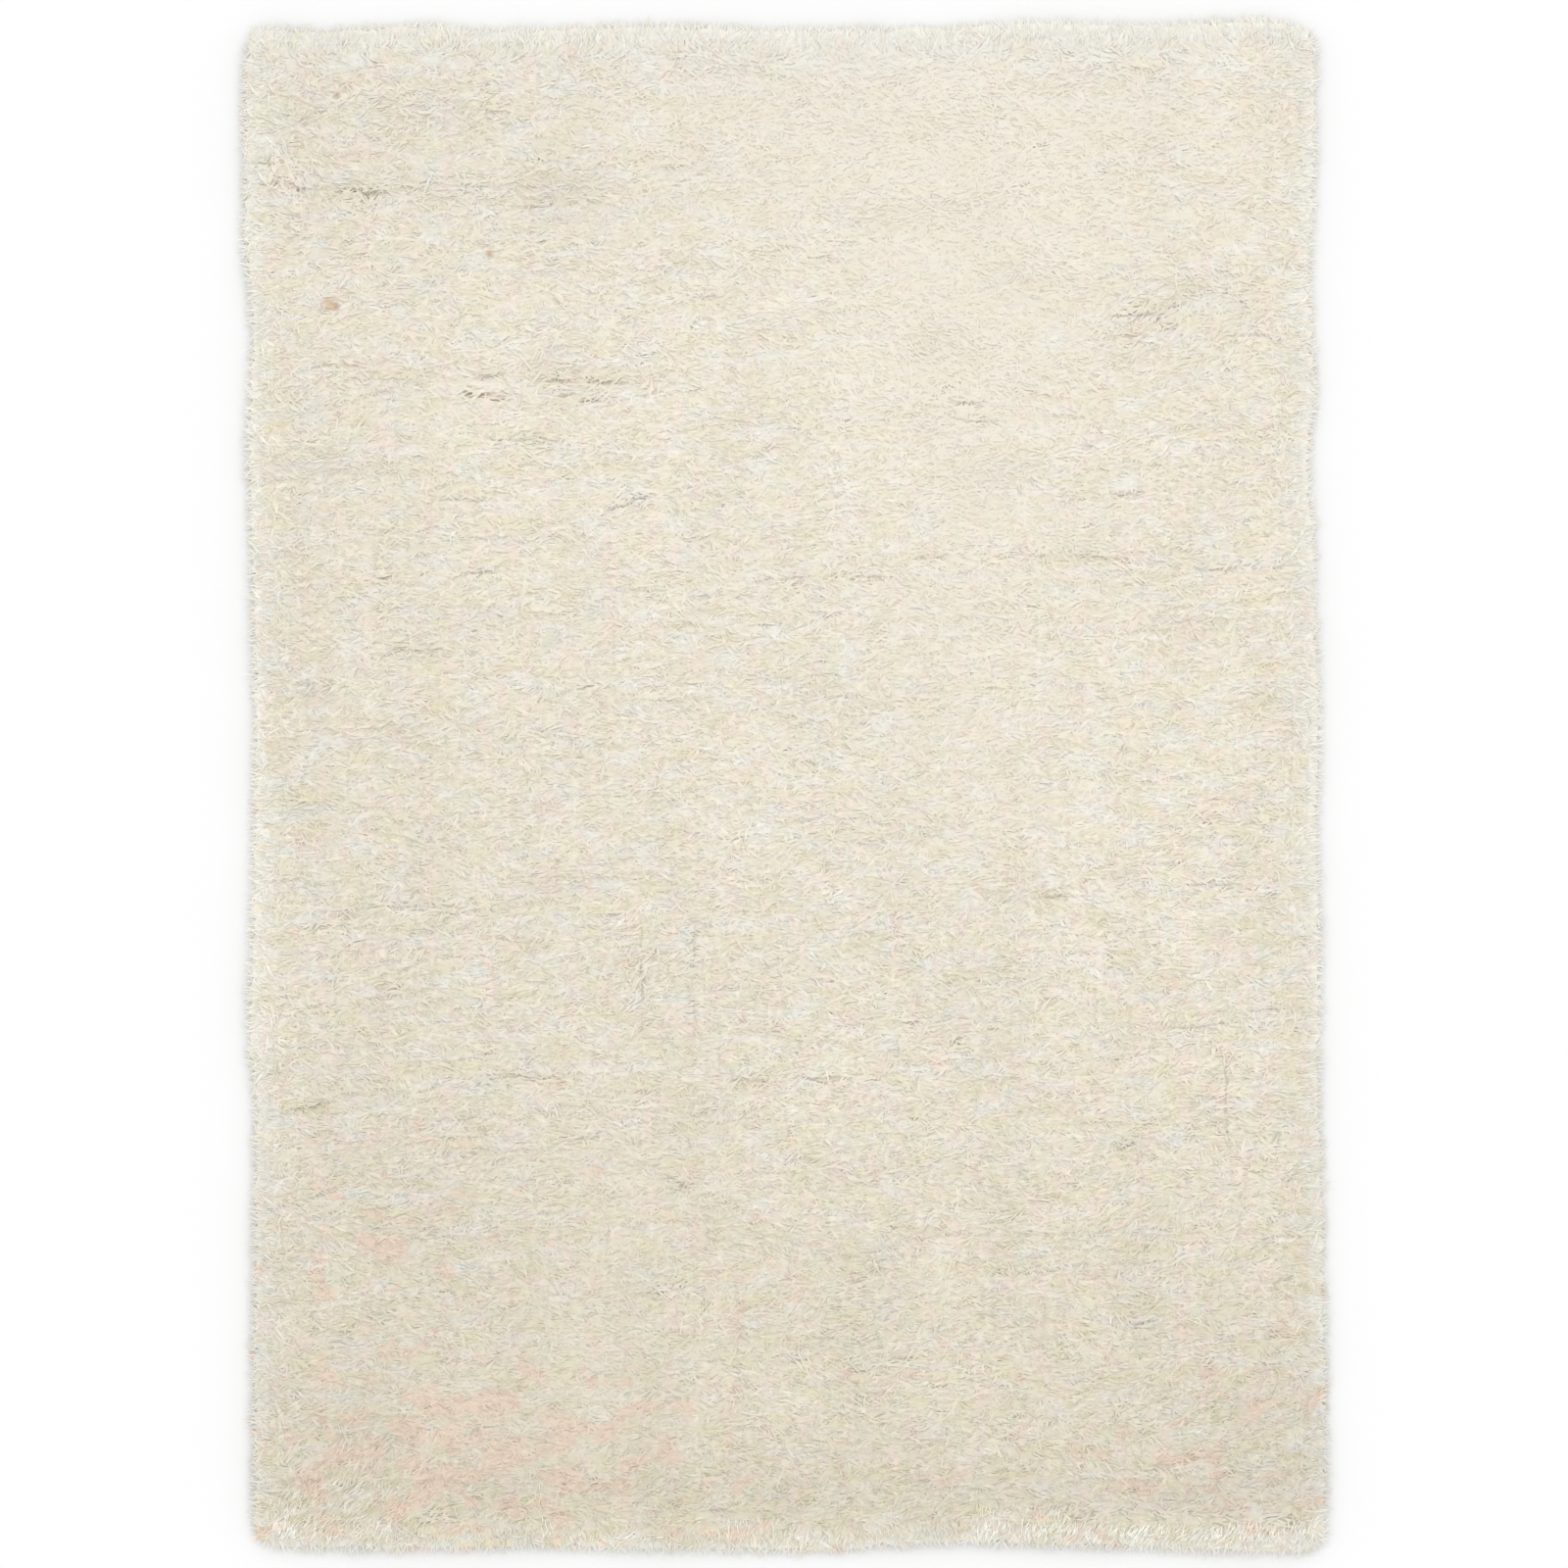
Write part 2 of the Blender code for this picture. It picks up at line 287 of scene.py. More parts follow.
# Paler and darker places of the pile, as shares of its lightness. Most are painted light and
# shade: darker in the partings and towards the near end, paler towards the far right, paler
# along the left and near rims and darker along the right and far ones. The rest is uneven tone.
PAINTED_LIGHT_AND_TONES = (
    Patch(-0.46, 0.93, 0.36, 0.150, -0.038),
    Patch(-0.72, 1.06, 0.22, 0.110, -0.020),
    Patch(-0.72, 0.60, 0.18, 0.500, -0.011),
    Patch(0.28, 0.80, 0.62, 0.550, 0.013),
    Patch(0.30, 0.30, 0.50, 0.450, 0.010),
    Patch(0.60, 0.73, 0.12, 0.060, -0.028),
    Patch(-0.78, 0.00, 0.20, 1.000, -0.026),
    Patch(-0.56, -0.30, 0.36, 0.500, -0.030),
    Patch(0.26, -0.34, 0.035, 0.050, -0.036),
    Patch(-0.60, -0.70, 0.40, 0.220, -0.036),
    # Painted shade: darker towards the near end
    Patch(0.00, -0.55, 1.60, 0.420, -0.026),
    Patch(0.00, -1.10, 1.60, 0.420, -0.100),
    Patch(-0.52, -1.08, 0.44, 0.200, -0.040),
    Patch(0.76, -0.98, 0.20, 0.160, -0.046),
    Patch(0.55, -0.75, 0.40, 0.250, -0.018),
    Patch(0.14, -1.08, 0.80, 0.060, -0.040),
    Patch(0.03, -0.93, 0.16, 0.030, 0.022),
    Patch(-0.22, -0.20, 0.06, 0.012, 0.025),
    Patch(0.66, -0.41, 0.09, 0.030, 0.025),
    Patch(0.55, 0.52, 0.07, 0.030, 0.020),
    # Painted shade along the far and right rims, painted light along the left and near rims
    Patch(0.00, 1.15, 1.60, 0.030, -0.045),
    Patch(0.80, 0.00, 0.030, 1.300, -0.050),
    Patch(-0.80, 0.00, 0.022, 1.300, 0.085),
    Patch(0.00, -1.15, 1.60, 0.024, 0.085),
    Patch(-0.71, -0.96, 0.12, 0.080, -0.040),
    Patch(-0.70, 0.50, 0.10, 0.300, -0.012),
    Patch(0.03, 0.15, 0.10, 0.090, -0.030),
    Patch(0.66, -1.09, 0.16, 0.045, -0.036),
    Patch(0.72, 1.06, 0.12, 0.120, -0.022),
    Patch(-0.40, 1.09, 0.40, 0.050, -0.018),
    Patch(0.00, 0.10, 1.60, 0.500, -0.0130),
    Patch(-0.05, -0.35, 0.010, 0.240, -0.012),
    Patch(0.47, -0.18, 0.012, 0.200, 0.012),
    Patch(0.39, -0.21, 0.05, 0.060, 0.018),
    Patch(0.21, -0.21, 0.08, 0.080, -0.015),
    Patch(0.39, -0.67, 0.05, 0.060, 0.018),
    Patch(-0.60, -0.67, 0.18, 0.070, -0.013),
    Patch(-0.50, -0.91, 0.06, 0.050, 0.022),
    Patch(-0.70, -0.91, 0.07, 0.050, -0.014),
)

# Warmer places of the pile, and greyer ones below zero
WARMTHS = (
    Patch(0.00, -1.05, 1.60, 0.550, 0.40),
    Patch(-0.40, -1.12, 0.45, 0.120, 0.30),
    Patch(0.00, 0.95, 1.60, 0.450, -0.15),
    Patch(0.00, 1.14, 1.60, 0.060, -0.60),
    Patch(0.30, 0.10, 0.70, 0.700, -0.12),
)

# Places where the yarn is more often like peach, and less often below zero
BLUSHES = (
    Patch(-0.50, -1.01, 0.34, 0.120, 0.85),
    Patch(-0.61, -0.68, 0.14, 0.130, 0.6),
    Patch(0.00, -1.00, 1.60, 0.350, 0.22),
    Patch(-0.05, -0.74, 0.06, 0.080, 0.4),
    Patch(0.56, -1.04, 0.16, 0.060, 0.4),
    Patch(0.68, -0.88, 0.10, 0.160, 0.3),
    Patch(-0.72, 0.74, 0.09, 0.060, 0.7),
    Patch(0.00, 0.75, 1.60, 0.650, -0.50),
)

# Calmer places of the pile, where its colour, lightness and locks wander less, by that share
CALMS = (
    Patch(0.12, 0.99, 0.40, 0.180, 0.27),
    Patch(0.27, 0.66, 0.20, 0.200, 0.42),
    Patch(0.29, 0.20, 0.15, 0.420, 0.32),
    Patch(-0.28, -0.72, 0.16, 0.340, 0.26),
    Patch(-0.42, -0.98, 0.34, 0.160, 0.16),
    Patch(0.42, 1.02, 0.70, 0.260, 0.40),
    Patch(0.00, 0.60, 1.60, 0.620, 0.17),
)

# Pale wisps that stand out of the pile, most of them near the near edge
TUFTS = (
    Tuft(-0.731, -1.094, 0.030, 0.026, 60.0, 50),
    Tuft(-0.674, -0.997, 0.010, 0.018, 85.0, 8),
    Tuft(-0.582, -1.099, 0.010, 0.020, 52.0, 18),
    Tuft(-0.689, -1.129, 0.090, 0.020, 50.0, 130),
    Tuft(-0.637, -1.087, 0.080, 0.026, 40.0, 110),
    Tuft(-0.770, -1.120, 0.022, 0.030, 70.0, 50),
    Tuft(-0.375, -1.079, 0.008, 0.040, 88.0, 16),
    Tuft(-0.360, -1.132, 0.012, 0.012, 80.0, 12),
    Tuft(-0.241, -1.147, 0.050, 0.006, 20.0, 14),
    Tuft(-0.054, -1.132, 0.045, 0.016, 85.0, 40),
    Tuft(0.043, -1.150, 0.050, 0.006, 70.0, 16),
    Tuft(0.357, -1.124, 0.070, 0.028, 78.0, 130),
    Tuft(0.477, -1.140, 0.080, 0.014, 60.0, 90),
    Tuft(0.597, -1.143, 0.080, 0.014, 50.0, 90),
    Tuft(0.731, -1.140, 0.080, 0.016, 75.0, 110),
    Tuft(0.626, -0.991, 0.012, 0.008, 10.0, 8),
    Tuft(-0.151, -1.094, 0.030, 0.020, 10.0, 10),
)

# Small flecks caught in the yarn. The brown one beside the first is painted as its shadow.
FLECKS = (
    Fleck(-0.694, 0.736, 0.0130, 0.0),
    # Painted shadow beside the first fleck
    Fleck(-0.685, 0.731, 0.0060, 0.8),
    Fleck(-0.450, 0.812, 0.0075, 0.4),
    Fleck(-0.683, 1.054, 0.0060, 0.3),
)


def edge_out(edge: tuple[EdgePoint, ...], along: Array) -> Array:
    """How far an edge stands out, on a smooth run between its stations.

    The share s of the way between two stations is eased to s * s * (3 - 2 * s).

    Args:
        edge: The edge's stations, in order.
        along: Places along the edge.

    Returns:
        How far the pile stands out at each place.
    """
    stations = np.array([point.along for point in edge])
    outs = np.array([point.out for point in edge])
    after = np.clip(np.searchsorted(stations, along), 1, len(edge) - 1)
    share = (along - stations[after - 1]) / (stations[after] - stations[after - 1])
    share = np.clip(share, 0.0, 1.0)
    smooth = share * share * (3 - 2 * share)
    return outs[after - 1] + (outs[after] - outs[after - 1]) * smooth


@dataclass(frozen=True)
class Outline:
    """The pile's uneven outline on the plan. The shift sets the solid's box on the origin."""

    width: float = 1.612
    length: float = 2.308
    corner_radius: float = 0.024
    shift_across: float = -0.0007
    shift_along: float = 0.0005
    slope_step: float = 0.002

    def inset(self, x: Array, y: Array) -> Array:
        """How far inside the outline places lie: the least distance to an edge, rounded at corners.

        Args:
            x: Places across the rug.
            y: Places along the rug.

        Returns:
            The distance in metres, below zero outside the outline.
        """
        x, y = x - self.shift_across, y - self.shift_along
        from_side = np.minimum(
            x + self.width / 2 + edge_out(LEFT_EDGE, y),
            self.width / 2 + edge_out(RIGHT_EDGE, y) - x,
        )
        from_end = np.minimum(
            y + self.length / 2 + edge_out(NEAR_EDGE, x),
            self.length / 2 + edge_out(FAR_EDGE, x) - y,
        )
        radius = self.corner_radius
        in_corner = (from_side < radius) & (from_end < radius)
        rounded = radius - np.hypot(radius - from_side, radius - from_end)
        return np.where(in_corner, rounded, np.minimum(from_side, from_end))

    def outward(self, x: Array, y: Array) -> tuple[Array, Array]:
        """The direction straight out of the rug: against the slope of the inset.

        Args:
            x: Places across the rug.
            y: Places along the rug.

        Returns:
            The two parts of a unit direction at each place.
        """
        step = self.slope_step
        out_x = self.inset(x - step, y) - self.inset(x + step, y)
        out_y = self.inset(x, y - step) - self.inset(x, y + step)
        size = np.maximum(np.hypot(out_x, out_y), TINY)
        return out_x / size, out_y / size

    def place(self, across: Array, along: Array, inset: float | Array) -> tuple[Array, Array]:
        """Places on the plan between the four uneven edges, drawn in to the corners' rounding.

        Args:
            across: From -1 at the left edge to 1 at the right one.
            along: From -1 at the near edge to 1 at the far one.
            inset: How far the edges are moved in.

        Returns:
            The places across and along the rug.
        """
        straight_x, straight_y = across * self.width / 2, along * self.length / 2
        left = -self.width / 2 - edge_out(LEFT_EDGE, straight_y) + inset
        right = self.width / 2 + edge_out(RIGHT_EDGE, straight_y) - inset
        near = -self.length / 2 - edge_out(NEAR_EDGE, straight_x) + inset
        far = self.length / 2 + edge_out(FAR_EDGE, straight_x) - inset
        x = left + (right - left) * (across + 1) / 2
        y = near + (far - near) * (along + 1) / 2
        radius = np.maximum(self.corner_radius - inset, 0.0)
        past_x = x - np.where(x > 0, right - radius, left + radius)
        past_y = y - np.where(y > 0, far - radius, near + radius)
        in_corner = (past_x * x > 0) & (past_y * y > 0)
        size = np.maximum(np.hypot(past_x, past_y), TINY)
        drawn = np.maximum(np.abs(past_x), np.abs(past_y)) / size
        drawn = np.where(in_corner, drawn, 1.0)
        x = x + past_x * (drawn - 1)
        y = y + past_y * (drawn - 1)
        return x + self.shift_across, y + self.shift_along


class Lumps:
    """Smooth lumps of one size: a sum of sine waves in random directions, as the solid has them."""

    WAVES = 24
    SPREAD: Range = (0.7, 1.5)

    def __init__(self, height: float, across: float, along: float, seed: int) -> None:
        """Draws the waves.

        Args:
            height: The lumps' mean height.
            across: The usual length from lump to lump across the rug.
            along: The same along the rug.
            seed: The draw's seed.
        """
        draws = np.random.default_rng(seed)
        turn = draws.uniform(0, FULL_TURN, self.WAVES)
        size = draws.uniform(*self.SPREAD, self.WAVES)
        self.phase = draws.uniform(0, FULL_TURN, self.WAVES)
        self.across = FULL_TURN * np.cos(turn) / (across * size)
        self.along = FULL_TURN * np.sin(turn) / (along * size)
        self.height = height * math.sqrt(2 / self.WAVES)

    def at(self, x: Array, y: Array) -> Array:
        """The lumps' height: the waves' sines, added up.

        Args:
            x: Places across the rug.
            y: Places along the rug.

        Returns:
            The height at each place.
        """
        total = np.zeros_like(x)
        for across, along, phase in zip(self.across, self.along, self.phase):
            total += np.sin(across * x + along * y + phase)
        return self.height * total


class Grain:
    """Uneven grain with a usual length either way: white noise with its waves held to that size.

    A wave that is q times as short as the usual one keeps the share q^2 * exp(1 - q^2), and the
    whole is brought to a spread of 1. A place between cells blends the four round it.
    """

    CELL = 0.002
    COLUMNS = 896
    ROWS = 1248

    def __init__(self, across: float, along: float, seed: int) -> None:
        """Draws the noise and shapes it.

        Args:
            across: The usual length from crest to crest across the rug.
            along: The same along the rug.
            seed: The draw's seed.
        """
        white = np.random.default_rng(seed).standard_normal((self.ROWS, self.COLUMNS))
        waves_across = np.fft.rfftfreq(self.COLUMNS, self.CELL) * across
        waves_along = np.fft.fftfreq(self.ROWS, self.CELL) * along
        quickness = waves_along[:, None] ** 2 + waves_across[None, :] ** 2
        kept = quickness * np.exp(1 - quickness)
        shaped = np.fft.irfft2(np.fft.rfft2(white) * kept, s=white.shape)
        self.cells = shaped / shaped.std()

    def at(self, x: Array, y: Array) -> Array:
        """The grain at places.

        Args:
            x: Places across the rug.
            y: Places along the rug.

        Returns:
            The grain there, with a spread of 1 about 0.
        """
        column, row = x / self.CELL + self.COLUMNS / 2, y / self.CELL + self.ROWS / 2
        left, low = np.floor(column).astype(int), np.floor(row).astype(int)
        over, up = column - left, row - low
        left, right = left % self.COLUMNS, (left + 1) % self.COLUMNS
        low, high = low % self.ROWS, (low + 1) % self.ROWS
        below = self.cells[low, left] * (1 - over) + self.cells[low, right] * over
        above = self.cells[high, left] * (1 - over) + self.cells[high, right] * over
        return below * (1 - up) + above * up


def gather(rows: tuple[Parting | Swirl | Patch, ...], x: Array, y: Array) -> Array:
    """Adds up what a table's rows do at places: each row's last column, falling off as a bell.

    Args:
        rows: The table. A row has its middle, its half sizes and the amount at its middle.
        x: Places across the rug.
        y: Places along the rug.

    Returns:
        The total at each place.
    """
    total = np.zeros_like(x)
    for across, along, half_width, half_length, amount in rows:
        far = ((x - across) / half_width) ** 2 + ((y - along) / half_length) ** 2
        total += amount * np.exp(-far)
    return total


@dataclass
class Pile:
    """Where the pile's surface lies and which way its locks are combed."""

    outline: Outline
    top: float = 0.032
    seed: int = 7
    rim_insets: tuple[float, ...] = (-0.026, -0.016, 0.0, 0.013, 0.038, 0.060)
    rim_rises: tuple[float, ...] = (0.08, 0.26, 0.58, 0.83, 0.97, 1.0)
    tuft_height: float = 0.0007
    wisp_height: float = 0.0003
    crease_depth: float = 0.0030
    crease_half_width: float = 0.28
    crease_push: float = 0.0036
    crease_push_half_width: float = 0.90
    crease_share: float = 1.25
    parting_share: float = 220.0
    line_half_width: float = 0.0032
    line_depth: float = 0.0018
    line_push: float = 0.0042
    line_push_width: float = 0.0060
    line_wander: float = 0.0012
    line_shade_width: float = 0.0030
    bed_line_half_width: float = 0.0080
    bed_line_depth: float = 0.0025
    slope_step: float = 0.002
    streak_tone: float = 0.0150
    streak_warmth: float = 6.0
    band_tone: float = 0.008
    # The rim's paler, greyer yarn is painted light, as the light comes through the thin fringe
    rim_fade: float = 0.020
    rim_paler: float = 0.09
    rim_greyer: float = 0.80
    sway: float = 7.0
    patch_sway: float = 4.0
    comb_turn: float = 1.0
    most_calm: float = 0.85
    crease_sharpness: float = 1.5

    def __post_init__(self) -> None:
        """Draws the pile's lumps and grain."""
        self.swells = Lumps(height=0.0010, across=0.80, along=0.50, seed=self.seed)
        self.tufts = Lumps(height=0.0024, across=0.24, along=0.135, seed=self.seed + 1)
        self.tuft_grain = Grain(across=0.060, along=0.020, seed=self.seed + 2)
        self.wisp_grain = Grain(across=0.036, along=0.010, seed=self.seed + 3)
        self.crease_grain = Grain(across=0.120, along=0.030, seed=self.seed + 4)
        self.crease_gate = Grain(across=0.085, along=0.045, seed=self.seed + 5)
        self.side_grain = Grain(across=0.230, along=0.090, seed=self.seed + 6)
        self.sway_grain = Grain(across=0.090, along=0.045, seed=self.seed + 7)
        self.patch_grain = Grain(across=0.420, along=0.300, seed=self.seed + 8)
        self.wander_grain = Grain(across=0.030, along=0.030, seed=self.seed + 9)
        self.tone_grain = Grain(across=0.160, along=0.029, seed=self.seed + 10)
        self.band_grain = Grain(across=0.200, along=0.900, seed=self.seed + 11)

    def rim_share(self, inset: Array) -> Array:
        """The height as a share of the full one, on straight runs between the rim's rings."""
        return np.interp(inset, self.rim_insets, self.rim_rises)

    def creases(self, x: Array, y: Array, half_width: float) -> Array:
        """Thin curved creases between tufts: where a grain crosses zero, within open patches.

        Args:
            x: Places across the rug.
            y: Places along the rug.
            half_width: How far the grain is from zero at a crease's edge.

        Returns:
            From 0 where there is none to 1 in the middle of a crease.
        """
        across = 1 - np.abs(self.crease_grain.at(x, y)) / half_width
        gate = (self.crease_gate.at(x, y) - self.crease_share) / self.crease_share
        gate = gate + gather(PARTINGS, x, y) * self.parting_share
        return np.clip(across, 0, 1) ** self.crease_sharpness * np.clip(gate, 0, 1)

    def lines(self, x: Array, y: Array, half_width: float) -> tuple[Array, Array, Array]:
        """The listed creases: a bell across each line, which wanders a little and tapers off.

        At v aside from a line and u along it, the share is exp(-(v / width)^2) times the root of
        1 - (u / half length)^2.

        Args:
            x: Places across the rug.
            y: Places along the rug.
            half_width: The bell's half width.

        Returns:
            The share of a full crease's depth, and how far places are pushed aside, across and
            along the rug, as shares of the full push.
        """
        depth, push_x, push_y = np.zeros_like(x), np.zeros_like(x), np.zeros_like(x)
        wander = self.line_wander * self.wander_grain.at(x, y)
        for row in CREASES:
            cos, sin = math.cos(math.radians(row.turn)), math.sin(math.radians(row.turn))
            ahead = cos * (x - row.across) + sin * (y - row.along)
            aside = cos * (y - row.along) - sin * (x - row.across) + wander
            taper = np.sqrt(np.clip(1 - (ahead / row.half_length) ** 2, 0, 1))
            share = row.depth * taper * np.exp(-((aside / half_width) ** 2))
            depth = np.maximum(depth, share)
            push_x -= sin * np.sign(aside) * share
            push_y += cos * np.sign(aside) * share
        return depth, push_x, push_y

    def parted(self, x: Array, y: Array) -> tuple[Array, Array]:
        """Places moved aside from the middle of a crease, along the slope of the creases' grain.

        Args:
            x: Places across the rug.
            y: Places along the rug.

        Returns:
            The moved places.
        """
        here = self.crease_grain.at(x, y)
        slope_x = self.crease_grain.at(x + self.slope_step, y) - here
        slope_y = self.crease_grain.at(x, y + self.slope_step) - here
        push = self.crease_push * self.creases(x, y, self.crease_push_half_width) * np.sign(here)
        push = push / np.maximum(np.hypot(slope_x, slope_y), TINY)
        _, line_x, line_y = self.lines(x, y, self.line_push_width)
        x = x + push * slope_x + self.line_push * line_x
        y = y + push * slope_y + self.line_push * line_y
        return x, y

    def surface(self, x: Array, y: Array) -> Array:
        """The height of the pile's surface: its top, lumps and partings, with tufts and creases.

        Args:
            x: Places across the rug.
            y: Places along the rug.

        Returns:
            The height at each place.
        """
        crown = self.top + self.swells.at(x, y) + self.tufts.at(x, y) - gather(PARTINGS, x, y)
        grain = self.tuft_height * self.tuft_grain.at(x, y)
        grain = grain + self.wisp_height * self.wisp_grain.at(x, y)
        crown = crown + (1 - self.calm(x, y)) * grain
        crown = crown - self.crease_depth * self.creases(x, y, self.crease_half_width)
        crown = crown - self.line_depth * self.lines(x, y, self.line_half_width)[0]
        return crown * self.rim_share(self.outline.inset(x, y))

    def bed(self, x: Array, y: Array) -> Array:
        """The height of the close yarn's surface, with a wide trough under each crease line."""
        trough = self.lines(x, y, self.bed_line_half_width)[0]
        return self.surface(x, y) - self.bed_line_depth * trough

    def tone(self, x: Array, y: Array) -> Array:
        """How much paler or darker the yarn is, as a share: the listed patches, two grains and the
        rim.

        The patches are mostly painted light and shade, and the paler rim is painted light.

        Args:
            x: Places across the rug.
            y: Places along the rug.

        Returns:
            The share, above 0 where it is paler.
        """
        # Painted light: paler near the rim
        paler = self.rim_paler * self.rim_nearness(x, y)
        grain = self.streaks(x, y) + self.band_tone * self.band_grain.at(x, y)
        return gather(PAINTED_LIGHT_AND_TONES, x, y) + grain + paler

    def streaks(self, x: Array, y: Array) -> Array:
        """Paler and darker streaks across the rug, as shares, fainter in a calm place."""
        return self.streak_tone * (1 - self.calm(x, y)) * self.tone_grain.at(x, y)

    def warmth(self, x: Array, y: Array) -> Array:
        """How much warmer the yarn is, or greyer below zero, by patches, streaks and the rim's
        painted light.
        """
        warmer = gather(WARMTHS, x, y) - self.streak_warmth * self.streaks(x, y)
        return warmer - self.rim_greyer * self.rim_nearness(x, y)

    def rim_nearness(self, x: Array, y: Array) -> Array:
        """From 0 inside the rug to 1 at its outline and outside it, as a bell of the inset, for
        painted light.
        """
        inset = np.maximum(self.outline.inset(x, y), 0)
        return np.exp(-((inset / self.rim_fade) ** 2))

    def depth(self, x: Array, y: Array) -> Array:
        """How deep in a listed crease places are, from 0 to 1: the mask of the painted crease
        shade.
        """
        return self.lines(x, y, self.line_shade_width)[0]

    def calm(self, x: Array, y: Array) -> Array:
        """How calm the pile is: the share by which its grain and its locks' draws are less."""
        return np.clip(gather(CALMS, x, y), 0, self.most_calm)

    def blush(self, x: Array, y: Array) -> Array:
        """How often the yarn is like peach, from -1 to 1: the listed patches."""
        return np.clip(gather(BLUSHES, x, y), -1, 1)

    def combing(self, x: Array, y: Array) -> Array:
        """The direction in which the locks lie: across the rug to one side or the other, swaying.

        Args:
            x: Places across the rug.
            y: Places along the rug.

        Returns:
            The direction's angle from +X, in radians.
        """
        side = np.where(self.side_grain.at(x, y) > 0, 0.0, math.pi)
        sway = self.sway * self.sway_grain.at(x, y) + self.patch_sway * self.patch_grain.at(x, y)
        turn = self.comb_turn + sway + gather(SWIRLS, x, y)
        return side + np.radians(turn)


@dataclass(frozen=True)
class Clumps:
    """Tufts of locks that hold together, one in each cell of a jittered grid.

    Each cell takes six numbers: two place its tuft, and the others are for what its locks share.
    """

    across: float
    along: float
    seed: int
    jitter: float = 0.8
    cover_width: float = 1.8
    cover_length: float = 2.5

    NUMBERS = 6

    def draw(self) -> Array:
        """Random numbers for every cell, with a spread of 1: rows, columns and numbers."""
        size = (*self.cells(), self.NUMBERS)
        return np.random.default_rng(self.seed).standard_normal(size)

    def cells(self) -> tuple[int, int]:
        """How many rows and columns of cells cover the rug and a little round it."""
        return int(self.cover_length / self.along), int(self.cover_width / self.across)

    def nearest(self, x: Array, y: Array) -> tuple[Array, Array, Array]:
        """The clump that each place belongs to, which is the nearest one measured in cells.

        Args:
            x: Places across the rug.
            y: Places along the rug.

        Returns:
            The numbers that a clump's locks share, and its middle across and along the rug.
        """
        drawn = self.draw()
        rows, columns = self.cells()
        column, row = x / self.across + columns / 2, y / self.along + rows / 2
        best = np.full(x.shape, np.inf)
        best_row, best_column = np.zeros(x.shape, int), np.zeros(x.shape, int)
        middle_x, middle_y = np.zeros_like(x), np.zeros_like(y)
        for step_row in (-1, 0, 1):
            for step_column in (-1, 0, 1):
                near_row = np.clip(np.floor(row).astype(int) + step_row, 0, rows - 1)
                near_column = np.clip(np.floor(column).astype(int) + step_column, 0, columns - 1)
                numbers = drawn[near_row, near_column]
                centre_row = near_row + 0.5 + self.jitter * np.tanh(numbers[..., 0]) / 2
                centre_column = near_column + 0.5 + self.jitter * np.tanh(numbers[..., 1]) / 2
                far = (row - centre_row) ** 2 + (column - centre_column) ** 2
                nearer = far < best
                best = np.where(nearer, far, best)
                best_row = np.where(nearer, near_row, best_row)
                best_column = np.where(nearer, near_column, best_column)
                middle_x = np.where(nearer, (centre_column - columns / 2) * self.across, middle_x)
                middle_y = np.where(nearer, (centre_row - rows / 2) * self.along, middle_y)
        return drawn[best_row, best_column, 2:], middle_x, middle_y


@dataclass(frozen=True)
class LockCut:
    """The form of one kind of lock, a closed spindle with a few rings of that many sides.

    stations are the rings' places as shares of its length, girths their widths as shares of the
    full width, and sunk how far root, rings and tip lie under the pile's surface. A lock that
    gives way moves aside from the creases, and shade is how much of their painted shade it takes.
    Curl, in shares of the length, and spin, in radians, are how far locks differ from each other.
    """

    length: Range
    width: Range
    stations: tuple[float, ...]
    girths: tuple[float, ...]
    sunk: tuple[float, ...]
    curl: float
    spin: float = 0.25
    flatness: float = 0.084
    sides: int = 3
    gives_way: bool = True
    shade: float = 0.35


